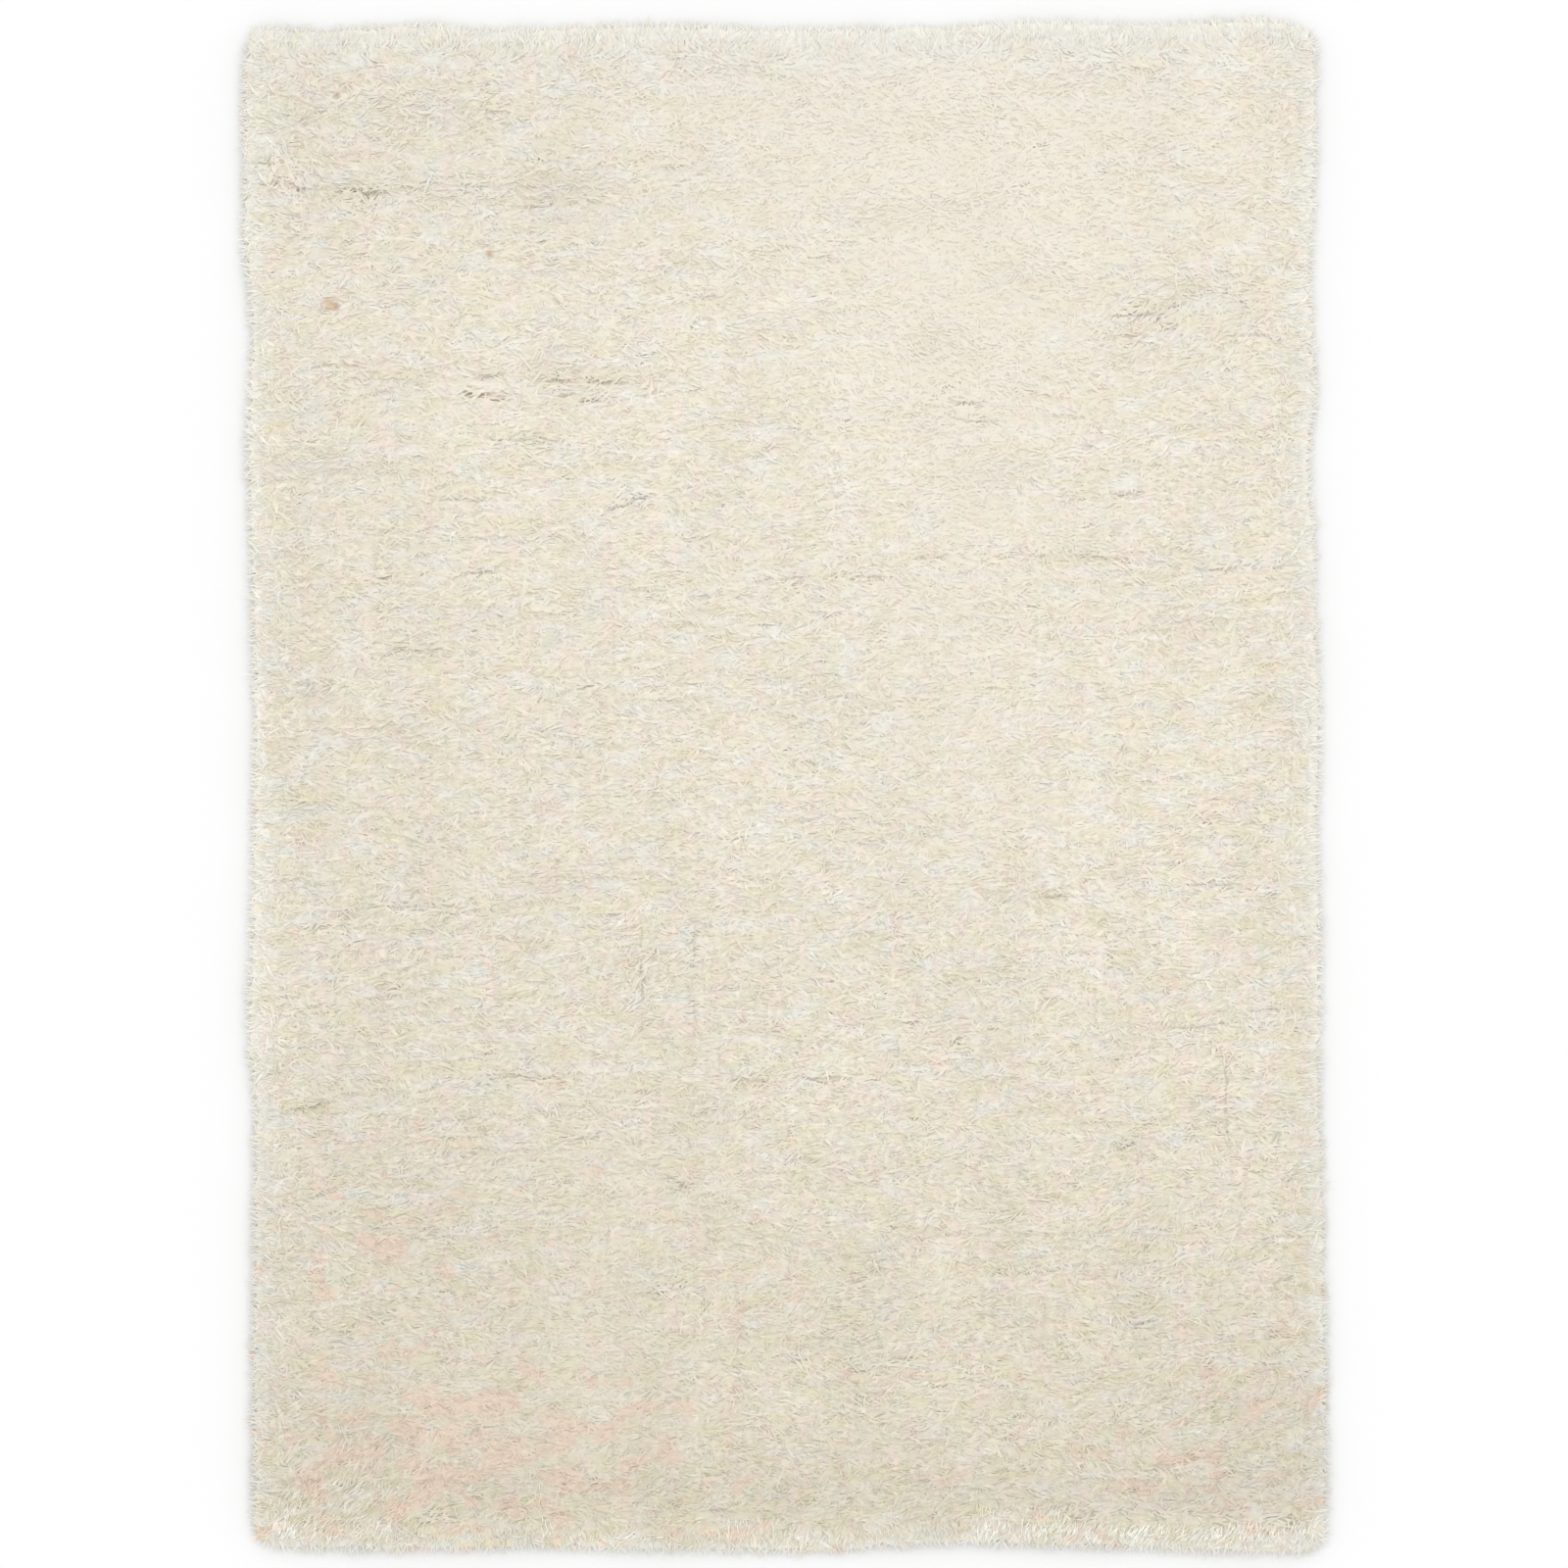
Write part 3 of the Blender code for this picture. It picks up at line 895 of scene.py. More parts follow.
@dataclass
class Locks:
    """A batch of locks, one row for each: where they stand and how they lie.

    The way round a lock is taken as twice its width, and its cell of the flat map has a margin.
    """

    cut: LockCut
    root_x: Array
    root_y: Array
    heading: Array
    length: Array
    width: Array
    curl: Array
    pull: Array
    lift: Array
    level: Array
    spin: Array
    tone: Array

    FLOOR_GAP = 0.0006
    PULL_POWER = 1.5
    WAY_ROUND = 2.0
    MARGIN = 0.07

    def only(self, chosen: Array) -> "Locks":
        """The same batch with the chosen rows alone."""
        rows = {k: v[chosen] for k, v in vars(self).items() if k != "cut"}
        return Locks(cut=self.cut, **rows)

    def shares(self) -> Array:
        """The spine's stations from root to tip, as shares of the length."""
        return np.array([0.0, *self.cut.stations, 1.0])

    def spines(self, pile: Pile) -> Array:
        """The locks' middle lines.

        At the share s of its length a lock has gone s times its length ahead and, sideways, its
        curl times s^2 and its clump's pull times s^1.5. One that gives way is moved as its first
        ring is. It lies on the pile's surface, less what its cut says it is sunk, times the level
        at which it grows.

        Args:
            pile: The pile that they lie on.

        Returns:
            Points for each lock and station.
        """
        share = self.shares()[None, :]
        ahead = self.length[:, None] * share
        aside = self.curl[:, None] * self.length[:, None] * share**2
        aside = aside + self.pull[:, None] * share**self.PULL_POWER
        cos, sin = np.cos(self.heading)[:, None], np.sin(self.heading)[:, None]
        x = self.root_x[:, None] + cos * ahead - sin * aside
        y = self.root_y[:, None] + sin * ahead + cos * aside
        if self.cut.gives_way:
            middle_x, middle_y = pile.parted(x[:, 1:2], y[:, 1:2])
            x, y = x + middle_x - x[:, 1:2], y + middle_y - y[:, 1:2]
        height = pile.surface(x, y) * self.level[:, None] - np.array(self.cut.sunk)[None, :]
        height = height + self.lift[:, None] * share
        return np.stack([x, y, height], axis=-1)

    def skin(self, spine: Array, pile: Pile) -> Array:
        """The locks' surface points.

        Each ring stands square to the spine: its points lie at even turns round it, at half the
        width to the sides and that times the flatness up and down, less in a calm place.

        Args:
            spine: The locks' middle lines.
            pile: The pile that they lie on.

        Returns:
            Points for each lock: its root, its rings' points and its tip.
        """
        ahead = spine[:, 2:] - spine[:, :-2]
        ahead /= np.linalg.norm(ahead, axis=-1, keepdims=True)
        level = np.stack([-ahead[..., 1], ahead[..., 0], np.zeros_like(ahead[..., 0])], axis=-1)
        level /= np.maximum(np.linalg.norm(level, axis=-1, keepdims=True), TINY)
        upright = np.cross(ahead, level)
        turn = FULL_TURN * (np.arange(self.cut.sides) / self.cut.sides + 0.25)[None, None, :]
        turn = turn + self.spin[:, None, None]
        radius = self.width[:, None] * np.array(self.cut.girths)[None, :] / 2
        radius = radius[..., None, None]
        flatness = self.cut.flatness * (1 - pile.calm(self.root_x, self.root_y))
        rings = spine[:, 1:-1, None, :] + radius * (
            np.cos(turn)[..., None] * level[:, :, None, :]
            + flatness[:, None, None, None] * np.sin(turn)[..., None] * upright[:, :, None, :]
        )
        count = len(spine)
        points = np.concatenate([spine[:, :1], rings.reshape(count, -1, 3), spine[:, -1:]], axis=1)
        points[..., 2] = np.maximum(points[..., 2], self.FLOOR_GAP)
        return points

    def faces(self) -> NDArray[np.int64]:
        """One lock's triangles: a fan at its root, bands between its rings and a fan at its tip."""
        sides, rings = self.cut.sides, len(self.cut.stations)
        here = np.arange(sides)
        after = (here + 1) % sides
        tip = 1 + sides * rings
        found = [np.stack([np.zeros(sides, int), 1 + after, 1 + here], axis=1)]
        for ring in range(rings - 1):
            low, high = 1 + sides * ring, 1 + sides * (ring + 1)
            found.append(np.stack([low + here, low + after, high + after], axis=1))
            found.append(np.stack([low + here, high + after, high + here], axis=1))
        last = 1 + sides * (rings - 1)
        found.append(np.stack([last + here, last + after, np.full(sides, tip)], axis=1))
        return np.concatenate(found)

    def unwrapped(self) -> Array:
        """One lock's triangles unrolled in a unit cell: round it sideways, root to tip upwards."""
        sides, share = self.cut.sides, self.shares()
        here, after = np.arange(sides) / sides, (np.arange(sides) + 1) / sides
        middle = (here + after) / 2
        flat = [self._corners((middle, share[0]), (after, share[1]), (here, share[1]))]
        for low, high in zip(share[1:-1], share[2:-1]):
            flat.append(self._corners((here, low), (after, low), (after, high)))
            flat.append(self._corners((here, low), (after, high), (here, high)))
        flat.append(self._corners((here, share[-2]), (after, share[-2]), (middle, share[-1])))
        return np.concatenate(flat)

    @staticmethod
    def _corners(*corners: tuple[Array, float]) -> Array:
        """Triangles' flat corners, from places round the lock and a height for each corner."""
        return np.stack([np.stack([u, np.full_like(u, v)], axis=-1) for u, v in corners], axis=1)


@dataclass
class MeshParts:
    """What a mesh is made of. loops are the corners' points, and sizes how many a face has."""

    points: Array
    loops: NDArray[np.int64]
    sizes: NDArray[np.int64]
    flat: Array | None = None
    numbers: dict[str, Array] = field(default_factory=dict)
    vectors: dict[str, Array] = field(default_factory=dict)

    def piece(self, name: str, material: bpy.types.Material, slot: Slot) -> bpy.types.Object:
        """Makes the piece, which rides on the rug's body and stands for its solid.

        Args:
            name: The piece's name.
            material: Its finish.
            slot: Not used.

        Returns:
            The piece's object, at the origin.
        """
        mesh = bpy.data.meshes.new(name)
        mesh.vertices.add(len(self.points))
        mesh.vertices.foreach_set("co", self.points.astype(np.float32).ravel())
        mesh.loops.add(len(self.loops))
        mesh.loops.foreach_set("vertex_index", self.loops.astype(np.int32))
        mesh.polygons.add(len(self.sizes))
        starts = np.concatenate([[0], np.cumsum(self.sizes)[:-1]])
        mesh.polygons.foreach_set("loop_start", starts.astype(np.int32))
        if self.flat is not None:
            layer = mesh.uv_layers.new(name="OFBake")
            layer.uv.foreach_set("vector", self.flat.astype(np.float32).ravel())
        for key, values in self.numbers.items():
            kept = mesh.attributes.new(key, "FLOAT", "POINT")
            kept.data.foreach_set("value", values.astype(np.float32).ravel())
        for key, values in self.vectors.items():
            kept = mesh.attributes.new(key, "FLOAT_VECTOR", "POINT")
            kept.data.foreach_set("vector", values.astype(np.float32).ravel())
        mesh.update(calc_edges=True)
        mesh.validate()
        mesh.shade_flat()
        mesh.materials.append(material)
        item = bpy.data.objects.new(name, mesh)
        bpy.context.scene.collection.objects.link(item)
        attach(item, BODY)
        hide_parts(SOLID)
        return item


def lock_parts(locks: Locks, pile: Pile) -> MeshParts:
    """Joins a batch of locks into one mesh, each with its own cell of the flat map.

    Args:
        locks: The batch.
        pile: The pile that they lie on.

    Returns:
        The mesh's parts, with the yarn's numbers: its rise from root to tip, its depth in a
        crease, which sets its painted crease shade, its tone, partly painted light and shade, its
        warmth, blush and calm, and where a point is on its strand.
    """
    spine = locks.spines(pile)
    points = locks.skin(spine, pile)
    count, each = points.shape[:2]
    faces = locks.faces()[None] + each * np.arange(count)[:, None, None]
    cells = math.ceil(math.sqrt(count))
    cell = np.stack([np.arange(count) % cells, np.arange(count) // cells], axis=-1)
    flat = locks.unwrapped()[None] * (1 - 2 * locks.MARGIN) + locks.MARGIN
    flat = (flat + cell[:, None, None, :]) / cells
    sides, stations = locks.cut.sides, np.array(locks.cut.stations)
    rise = np.concatenate([[0.0], np.repeat(stations, sides), [1.0]])
    around = np.concatenate([[0.5], np.tile(np.arange(sides) / sides, len(stations)), [0.5]])
    strand = np.stack(
        [
            locks.length[:, None] * rise[None, :],
            locks.width[:, None] * around[None, :] * locks.WAY_ROUND,
            np.repeat(locks.spin[:, None] + locks.curl[:, None], each, axis=1),
        ],
        axis=-1,
    )
    # Painted shade: how much of the creases' dark brown each point takes
    depth = locks.cut.shade * pile.depth(spine[..., 0], spine[..., 1])
    ring_depth = np.repeat(depth[:, 1:-1], sides, axis=1)
    depth = np.concatenate([depth[:, :1], ring_depth, depth[:, -1:]], axis=1)
    # The tone carries the patches' and the rim's painted light and shade, with each lock's own tone
    tone = locks.tone + pile.tone(locks.root_x, locks.root_y)
    warmth = pile.warmth(locks.root_x, locks.root_y)
    blush = pile.blush(locks.root_x, locks.root_y)
    calm = pile.calm(locks.root_x, locks.root_y)
    return MeshParts(
        points=points.reshape(-1, 3),
        loops=faces.ravel(),
        sizes=np.full(faces.shape[0] * faces.shape[1], 3),
        flat=flat.reshape(-1, 2),
        numbers={
            "rise": np.tile(rise, count),
            "depth": depth,
            "tone": np.repeat(tone, each),
            "warmth": np.repeat(warmth, each),
            "blush": np.repeat(blush, each),
            "calm": np.repeat(calm, each),
        },
        vectors={"strand": strand.reshape(-1, 3)},
    )


class Signal:
    """A shader socket that takes part in Python sums. Each sign adds its Math node."""

    def __init__(self, nodes: "NodeSet", socket: bpy.types.NodeSocket) -> None:
        """Wraps a socket."""
        self.nodes = nodes
        self.socket = socket

    def _math(self, operation: str, *values: "Signal | float") -> "Signal":
        """Adds a Math node on the values."""
        sockets = dict(enumerate(values))
        node = self.nodes.add("ShaderNodeMath", {"operation": operation}, sockets)
        return Signal(self.nodes, node.outputs[0])

    def __add__(self, other: "Signal | float") -> "Signal":
        """self + other"""
        return self._math("ADD", self, other)

    __radd__ = __add__

    def __sub__(self, other: "Signal | float") -> "Signal":
        """self - other"""
        return self._math("SUBTRACT", self, other)

    def __rsub__(self, other: float) -> "Signal":
        """other - self"""
        return self._math("SUBTRACT", other, self)

    def __mul__(self, other: "Signal | float") -> "Signal":
        """self * other"""
        return self._math("MULTIPLY", self, other)

    __rmul__ = __mul__

    def __neg__(self) -> "Signal":
        """-self"""
        return self._math("MULTIPLY", self, -1.0)

    def __truediv__(self, other: "Signal | float") -> "Signal":
        """self / other"""
        return self._math("DIVIDE", self, other)

    def __pow__(self, other: float) -> "Signal":
        """self to a power"""
        return self._math("POWER", self, other)

    def __abs__(self) -> "Signal":
        """self without its sign"""
        return self._math("ABSOLUTE", self)

    def sine(self) -> "Signal":
        """The sine of self, in radians."""
        return self._math("SINE", self)

    def held(self) -> "Signal":
        """self, held between 0 and 1."""
        node = self.nodes.add("ShaderNodeClamp", {}, {0: self})
        return Signal(self.nodes, node.outputs[0])


class NodeSet:
    """The nodes of a new material or room, and the one way in which any of them is added."""

    def __init__(self, owner: bpy.types.Material | bpy.types.World, shader: str) -> None:
        """Turns the owner's nodes on and finds its shader by name."""
        owner.use_nodes = True
        self.owner = owner
        self.tree = owner.node_tree
        self.shader = self.tree.nodes[shader]

    @classmethod
    def of_finish(cls, name: str) -> "NodeSet":
        """A new material's nodes."""
        return cls(bpy.data.materials.new(name), "Principled BSDF")

    def add(self, kind: str, settings: dict[str, object], sockets: dict) -> bpy.types.Node:
        """Adds a node.

        Args:
            kind: The node's type.
            settings: Its settings, set before its sockets.
            sockets: Values or links, by the sockets' names or numbers.

        Returns:
            The node.
        """
        node = self.tree.nodes.new(kind)
        for key, value in settings.items():
            setattr(node, key, value)
        for key, value in sockets.items():
            self.feed(node.inputs[key], value)
        return node

    def feed(self, socket: bpy.types.NodeSocket, value: object) -> None:
        """Gives a socket a link or a plain value."""
        if isinstance(value, Signal):
            self.tree.links.new(value.socket, socket)
        else:
            socket.default_value = value

    def attribute(self, name: str, output: str) -> Signal:
        """Reads one of the mesh's own attributes."""
        node = self.add("ShaderNodeAttribute", {"attribute_name": name}, {})
        return Signal(self, node.outputs[output])

    def place(self) -> Signal:
        """The place on the object, in metres."""
        return Signal(self, self.add("ShaderNodeTexCoord", {}, {}).outputs["Object"])

    def stretched(self, vector: Signal, factors: Axes) -> Signal:
        """A vector times a factor for each axis."""
        node = self.add("ShaderNodeVectorMath", {"operation": "MULTIPLY"}, {0: vector, 1: factors})
        return Signal(self, node.outputs[0])

    def distance(self, vector: Signal, point: Axes) -> Signal:
        """How far a place is from a point."""
        node = self.add("ShaderNodeVectorMath", {"operation": "DISTANCE"}, {0: vector, 1: point})
        return Signal(self, node.outputs["Value"])

    def noise(self, vector: Signal, grains: Axes, detail: float) -> Signal:
        """Even noise about 0.5 on a vector, with that many grains to the metre along each axis."""
        sockets = {
            "Vector": self.stretched(vector, grains),
            "Scale": 1.0,
            "Detail": detail,
            "Roughness": 0.5,
        }
        node = self.add("ShaderNodeTexNoise", {"noise_dimensions": "3D"}, sockets)
        return Signal(self, node.outputs["Fac"])

    def mixed(self, share: Signal, first: Signal | Colour, second: Signal | Colour) -> Signal:
        """The first colour, going over to the second with the share."""
        settings = {"data_type": "RGBA", "blend_type": "MIX", "clamp_factor": True}
        node = self.add("ShaderNodeMix", settings, {0: share, 6: first, 7: second})
        return Signal(self, node.outputs[2])

    def shaded(self, colour: Signal, amount: Signal) -> Signal:
        """A colour times a plain number."""
        settings = {"data_type": "RGBA", "blend_type": "MULTIPLY"}
        node = self.add("ShaderNodeMix", settings, {0: 1.0, 6: colour, 7: amount})
        return Signal(self, node.outputs[2])

    def relief(self, height: Signal, distance: float, strength: float) -> Signal:
        """The normal over a height, which is in shares of the distance."""
        sockets = {"Height": height, "Distance": distance, "Strength": strength}
        node = self.add("ShaderNodeBump", {}, sockets)
        return Signal(self, node.outputs["Normal"])

    def softened(self, normal: Signal, share: float) -> Signal:
        """A normal turned towards straight up by a share, as loose fibres pass the light on."""
        turned = self.stretched(normal, (1 - share, 1 - share, 1 - share))
        up = (0.0, 0.0, share)
        node = self.add("ShaderNodeVectorMath", {"operation": "ADD"}, {0: turned, 1: up})
        level = Signal(self, node.outputs[0])
        node = self.add("ShaderNodeVectorMath", {"operation": "NORMALIZE"}, {0: level})
        return Signal(self, node.outputs[0])

    def finish(self, **sockets: Signal | float | Colour) -> bpy.types.Material | bpy.types.World:
        """Feeds the shader's sockets, their names written with _ for a space.

        Args:
            sockets: Values or links.

        Returns:
            The nodes' owner.
        """
        for key, value in sockets.items():
            self.feed(self.shader.inputs[key.replace("_", " ")], value)
        return self.owner


@dataclass(frozen=True)
class Casts:
    """How the yarn's colour wanders from place to place: warmer and greyer, rosier and greener."""

    straw: Colour = (0.85, 0.785, 0.585, 1.0)
    grey: Colour = (0.868, 0.85, 0.785, 1.0)
    rosy: Colour = (0.90, 0.79, 0.68, 1.0)
    green: Colour = (0.85, 0.815, 0.66, 1.0)
    peach: Colour = (0.905, 0.74, 0.60, 1.0)
    # Painted shade: the dark brown that stands in for the shade deep in the creases
    crease: Colour = (0.56, 0.41, 0.28, 1.0)
    fleck: Colour = (0.74, 0.58, 0.40, 1.0)
    warm_share: float = 4.3
    rosy_share: float = 5.0
    blush_share: float = 0.24
    blush_from: float = 0.64
    blush_rise: float = 7.0
    crease_share: float = 0.68
    level: float = 0.991
    mottle_share: float = 0.20
    marks_share: float = 0.19
    fleck_fullness: float = 1.2
    warm_grains: Axes = (16.0, 36.0, 0.0)
    rosy_grains: Axes = (32.0, 18.0, 0.0)
    blot_grains: Axes = (19.0, 25.0, 0.0)
    mottle_grains: Axes = (115.0, 115.0, 0.0)
    mark_grains: Axes = (105.0, 42.0, 0.0)

    def ease(self, nodes: NodeSet) -> Signal:
        """How freely the colour and lightness wander: fully at 1, and less in a calm place."""
        return 1.0 - nodes.attribute("calm", "Fac")

    def over(self, nodes: NodeSet, place: Signal, colour: Signal) -> Signal:
        """Lays the casts, the peach places, the creases' painted shade by their depth, and the
        flecks over a colour.

        A fleck covers its middle, and at the share s of its radius 1.2 - s of the colour below.

        Args:
            nodes: The finish's nodes.
            place: The place on the rug.
            colour: The yarn's own colour.

        Returns:
            The colour with all of them.
        """
        ease = self.ease(nodes)
        warm = (nodes.noise(place, self.warm_grains, 1.0) - 0.5) * self.warm_share * ease
        warm = warm + nodes.attribute("warmth", "Fac")
        rosy = (nodes.noise(place, self.rosy_grains, 2.0) - 0.5) * self.rosy_share * ease
        colour = nodes.mixed(warm, colour, self.straw)
        colour = nodes.mixed(-warm, colour, self.grey)
        colour = nodes.mixed(rosy, colour, self.rosy)
        colour = nodes.mixed(-rosy, colour, self.green)
        blots = nodes.noise(place, self.blot_grains, 2.0)
        blots = blots + nodes.attribute("blush", "Fac") * self.blush_share - self.blush_from
        colour = nodes.mixed(blots * self.blush_rise, colour, self.peach)
        # Painted shade in the creases
        depth = nodes.attribute("depth", "Fac")
        colour = nodes.mixed(depth * self.crease_share, colour, self.crease)
        for fleck in FLECKS:
            middle = (fleck.across, fleck.along, 0.0)
            far = nodes.distance(nodes.stretched(place, (1.0, 1.0, 0.0)), middle)
            shade = tuple(a + (b - a) * fleck.depth for a, b in zip(self.fleck, self.crease))
            colour = nodes.mixed(self.fleck_fullness - far / fleck.radius, colour, shade)
        return colour

    def light(self, nodes: NodeSet, place: Signal) -> Signal:
        """The yarn's lightness: its tone, with a fine mottle and fine marks along the rug."""
        mottle = nodes.noise(place, self.mottle_grains, 1.0) - 0.5
        marks = nodes.noise(place, self.mark_grains, 1.0) - 0.5
        uneven = mottle * self.mottle_share + marks * self.marks_share
        return nodes.attribute("tone", "Fac") + self.level + uneven * self.ease(nodes)


@dataclass(frozen=True)
class Yarn:
    """The cream yarn: soft fibres laid along each lock, darker at its root and paler at its tip."""

    name: str = "cream_yarn"
    # Painted shade: the root is darker, as the shade deep in the pile
    root: Colour = (0.84, 0.755, 0.60, 1.0)
    body: Colour = (0.87, 0.81, 0.68, 1.0)
    tip: Colour = (0.885, 0.83, 0.71, 1.0)
    casts: Casts = Casts()
    root_share: float = 0.30
    tip_from: float = 0.55
    fibre_grains: Axes = (60.0, 1500.0, 40.0)
    fibre_share: float = 0.12
    fibre_depth: float = 0.0006
    relief: float = 0.5
    softness: float = 0.5
    roughness: float = 0.86
    roughness_share: float = 0.2
    specular: float = 0.3
    sheen: float = 0.15
    sheen_roughness: float = 0.5

    def material(self) -> bpy.types.Material:
        """Makes the finish.

        Returns:
            The material. It reads the locks' own numbers.
        """
        nodes = NodeSet.of_finish(self.name)
        rise, strand = nodes.attribute("rise", "Fac"), nodes.attribute("strand", "Vector")
        place = nodes.place()
        fibres = nodes.noise(strand, self.fibre_grains, 2.0)
        # Painted shade darkens each lock towards its root
        colour = nodes.mixed((rise / self.root_share).held(), self.root, self.body)
        colour = nodes.mixed((rise - self.tip_from) / (1 - self.tip_from), colour, self.tip)
        colour = self.casts.over(nodes, place, colour)
        fine = (fibres - 0.5) * self.fibre_share * self.casts.ease(nodes)
        normal = nodes.relief(fibres, self.fibre_depth, self.relief)
        return nodes.finish(
            Base_Color=nodes.shaded(colour, self.casts.light(nodes, place) + fine),
            Roughness=self.roughness + (fibres - 0.5) * self.roughness_share,
            Specular_IOR_Level=self.specular,
            Sheen_Weight=self.sheen,
            Sheen_Roughness=self.sheen_roughness,
            Normal=nodes.softened(normal, self.softness),
        )


@dataclass(frozen=True)
class BedYarn:
    """The yarn deep in the pile, seen between locks: combed fibres, a little darker as painted
    shade.
    """

    name: str = "deep_yarn"
    low: Colour = (0.82, 0.73, 0.57, 1.0)
    high: Colour = (0.88, 0.815, 0.68, 1.0)
    casts: Casts = Casts(mottle_share=0.0, marks_share=0.0)
    wisp_grains: Axes = (28.0, 150.0, 60.0)
    fibre_grains: Axes = (90.0, 900.0, 400.0)
    fibre_share: float = 0.3
    high_from: float = 0.35
    high_rise: float = 3.0
    depth: float = 0.004
    relief: float = 0.5
    softness: float = 0.5
    roughness: float = 0.92
    specular: float = 0.2

    def material(self) -> bpy.types.Material:
        """Makes the finish.

        Returns:
            The material. Its fibres run across the rug.
        """
        nodes = NodeSet.of_finish(self.name)
        place = nodes.place()
        wisps = nodes.noise(place, self.wisp_grains, 3.0)
        fibres = nodes.noise(place, self.fibre_grains, 2.0)
        height = wisps * (1 - self.fibre_share) + fibres * self.fibre_share
        # Painted shade: the low places of the relief are darker
        colour = nodes.mixed((height - self.high_from) * self.high_rise, self.low, self.high)
        colour = self.casts.over(nodes, place, colour)
        normal = nodes.relief(height, self.depth, self.relief)
        return nodes.finish(
            Base_Color=nodes.shaded(colour, self.casts.light(nodes, place)),
            Roughness=self.roughness,
            Specular_IOR_Level=self.specular,
            Normal=nodes.softened(normal, self.softness),
        )


@dataclass(frozen=True)
class GroundCloth:
    """The undyed woven ground, seen from below: rows of knots, each row half a knot on."""

    name: str = "woven_ground"
    low: Colour = (0.42, 0.34, 0.23, 1.0)
    high: Colour = (0.70, 0.61, 0.46, 1.0)
    knot_across: float = 0.0050
    row_along: float = 0.0065
    row_shift: float = 1.5
    knot_power: float = 0.6
    row_power: float = 0.5
    thread_grains: Axes = (500.0, 900.0, 500.0)
    thread_share: float = 0.2
    depth: float = 0.0012
    roughness: float = 0.9
    specular: float = 0.2

    def material(self) -> bpy.types.Material:
        """Makes the finish.

        Returns:
            The material. A knot's height is the product of two half waves, each to a power, and
            every other row is shifted to the side.
        """
        nodes = NodeSet.of_finish(self.name)
        place = nodes.place()
        parts = nodes.add("ShaderNodeSeparateXYZ", {}, {0: place})
        x, y = Signal(nodes, parts.outputs[0]), Signal(nodes, parts.outputs[1])
        row = abs((y * (math.pi / self.row_along)).sine())
        side = (y * (math.pi / self.row_along) / 2).sine()
        knots = abs((x * (math.pi / self.knot_across) + side * self.row_shift).sine())
        knots = knots**self.knot_power * row**self.row_power
        threads = nodes.noise(place, self.thread_grains, 2.0)
        height = knots * (1 - self.thread_share) + threads * self.thread_share
        return nodes.finish(
            Base_Color=nodes.mixed(height, self.low, self.high),
            Roughness=self.roughness,
            Specular_IOR_Level=self.specular,
            Normal=nodes.relief(height, self.depth, 1.0),
        )


class FlatMap:
    """Where a slab's sides lie on its flat map: their lowest and highest places and the margin."""

    MARGIN = 0.01
    UNDER: Range = (0.01, 0.10)
    RIM: Range = (0.12, 0.18)
    TOP: Range = (0.20, 0.99)


def slab_parts(top: Array, rings: Array) -> MeshParts:
    """Closes a grid into a slab, with rings that go down its rim and one face underneath.

    Args:
        top: The upper side's points, in rows from the near edge to the far one.
        rings: The rim's rings from the upper one down, anticlockwise from the near left corner.

    Returns:
        The mesh's parts, with a flat map: the top, then the rim and the underside below it.
    """
    rows, columns = top.shape[:2]
    index = np.arange(rows * columns).reshape(rows, columns)
    quads = np.stack([index[:-1, :-1], index[:-1, 1:], index[1:, 1:], index[1:, :-1]], axis=-1)
    quads = quads.reshape(-1, 4)
    edge = rim_of(index)
    count = len(edge)
    lower = rows * columns + np.arange(len(rings) * count).reshape(len(rings), count)
    levels = np.concatenate([edge[None], lower])
    after = np.roll(levels, -1, axis=1)
    walls = np.stack([levels[:-1], levels[1:], after[1:], after[:-1]], axis=-1).reshape(-1, 4)
    under = levels[-1][::-1]
    points = np.concatenate([top.reshape(-1, 3), rings.reshape(-1, 3)])
    loops = np.concatenate([quads.ravel(), walls.ravel(), under])
    sizes = np.concatenate([np.full(len(quads) + len(walls), 4), [count]])
    flat_top = flat_plan(points, FlatMap.TOP)[quads.ravel()]
    flat_under = flat_plan(points, FlatMap.UNDER)[under]
    flat = np.concatenate([flat_top, flat_rim(len(rings), count), flat_under])
    return MeshParts(points=points, loops=loops, sizes=sizes, flat=flat)


def rim_of(rows: NDArray) -> NDArray:
    """A grid's rim, anticlockwise from its near left corner."""
    return np.concatenate([rows[0], rows[1:, -1], rows[-1, -2::-1], rows[-2:0:-1, 0]])


def flat_plan(points: Array, heights: Range) -> Array:
    """The plan, spread over the flat map's width and between two heights of it."""
    low, high = heights
    least, most = points[:, :2].min(axis=0), points[:, :2].max(axis=0)
    share = (points[:, :2] - least) / (most - least)
    across = FlatMap.MARGIN + (1 - 2 * FlatMap.MARGIN) * share[:, 0]
    return np.stack([across, low + (high - low) * share[:, 1]], axis=-1)


def flat_rim(rings: int, count: int) -> Array:
    """The rim's part of the flat map, one band for each ring."""
    here, after = np.arange(count) / count, (np.arange(count) + 1) / count
    low, high = FlatMap.RIM
    level = high - (high - low) * np.arange(rings + 1) / rings
    bands = []
    for upper, lower in zip(level[:-1], level[1:]):
        upper, lower = np.full(count, upper), np.full(count, lower)
        places = np.stack([here, here, after, after]), np.stack([upper, lower, lower, upper])
        bands.append(np.stack(places, axis=-1).transpose(1, 0, 2).reshape(-1, 2))
    return np.concatenate(bands)


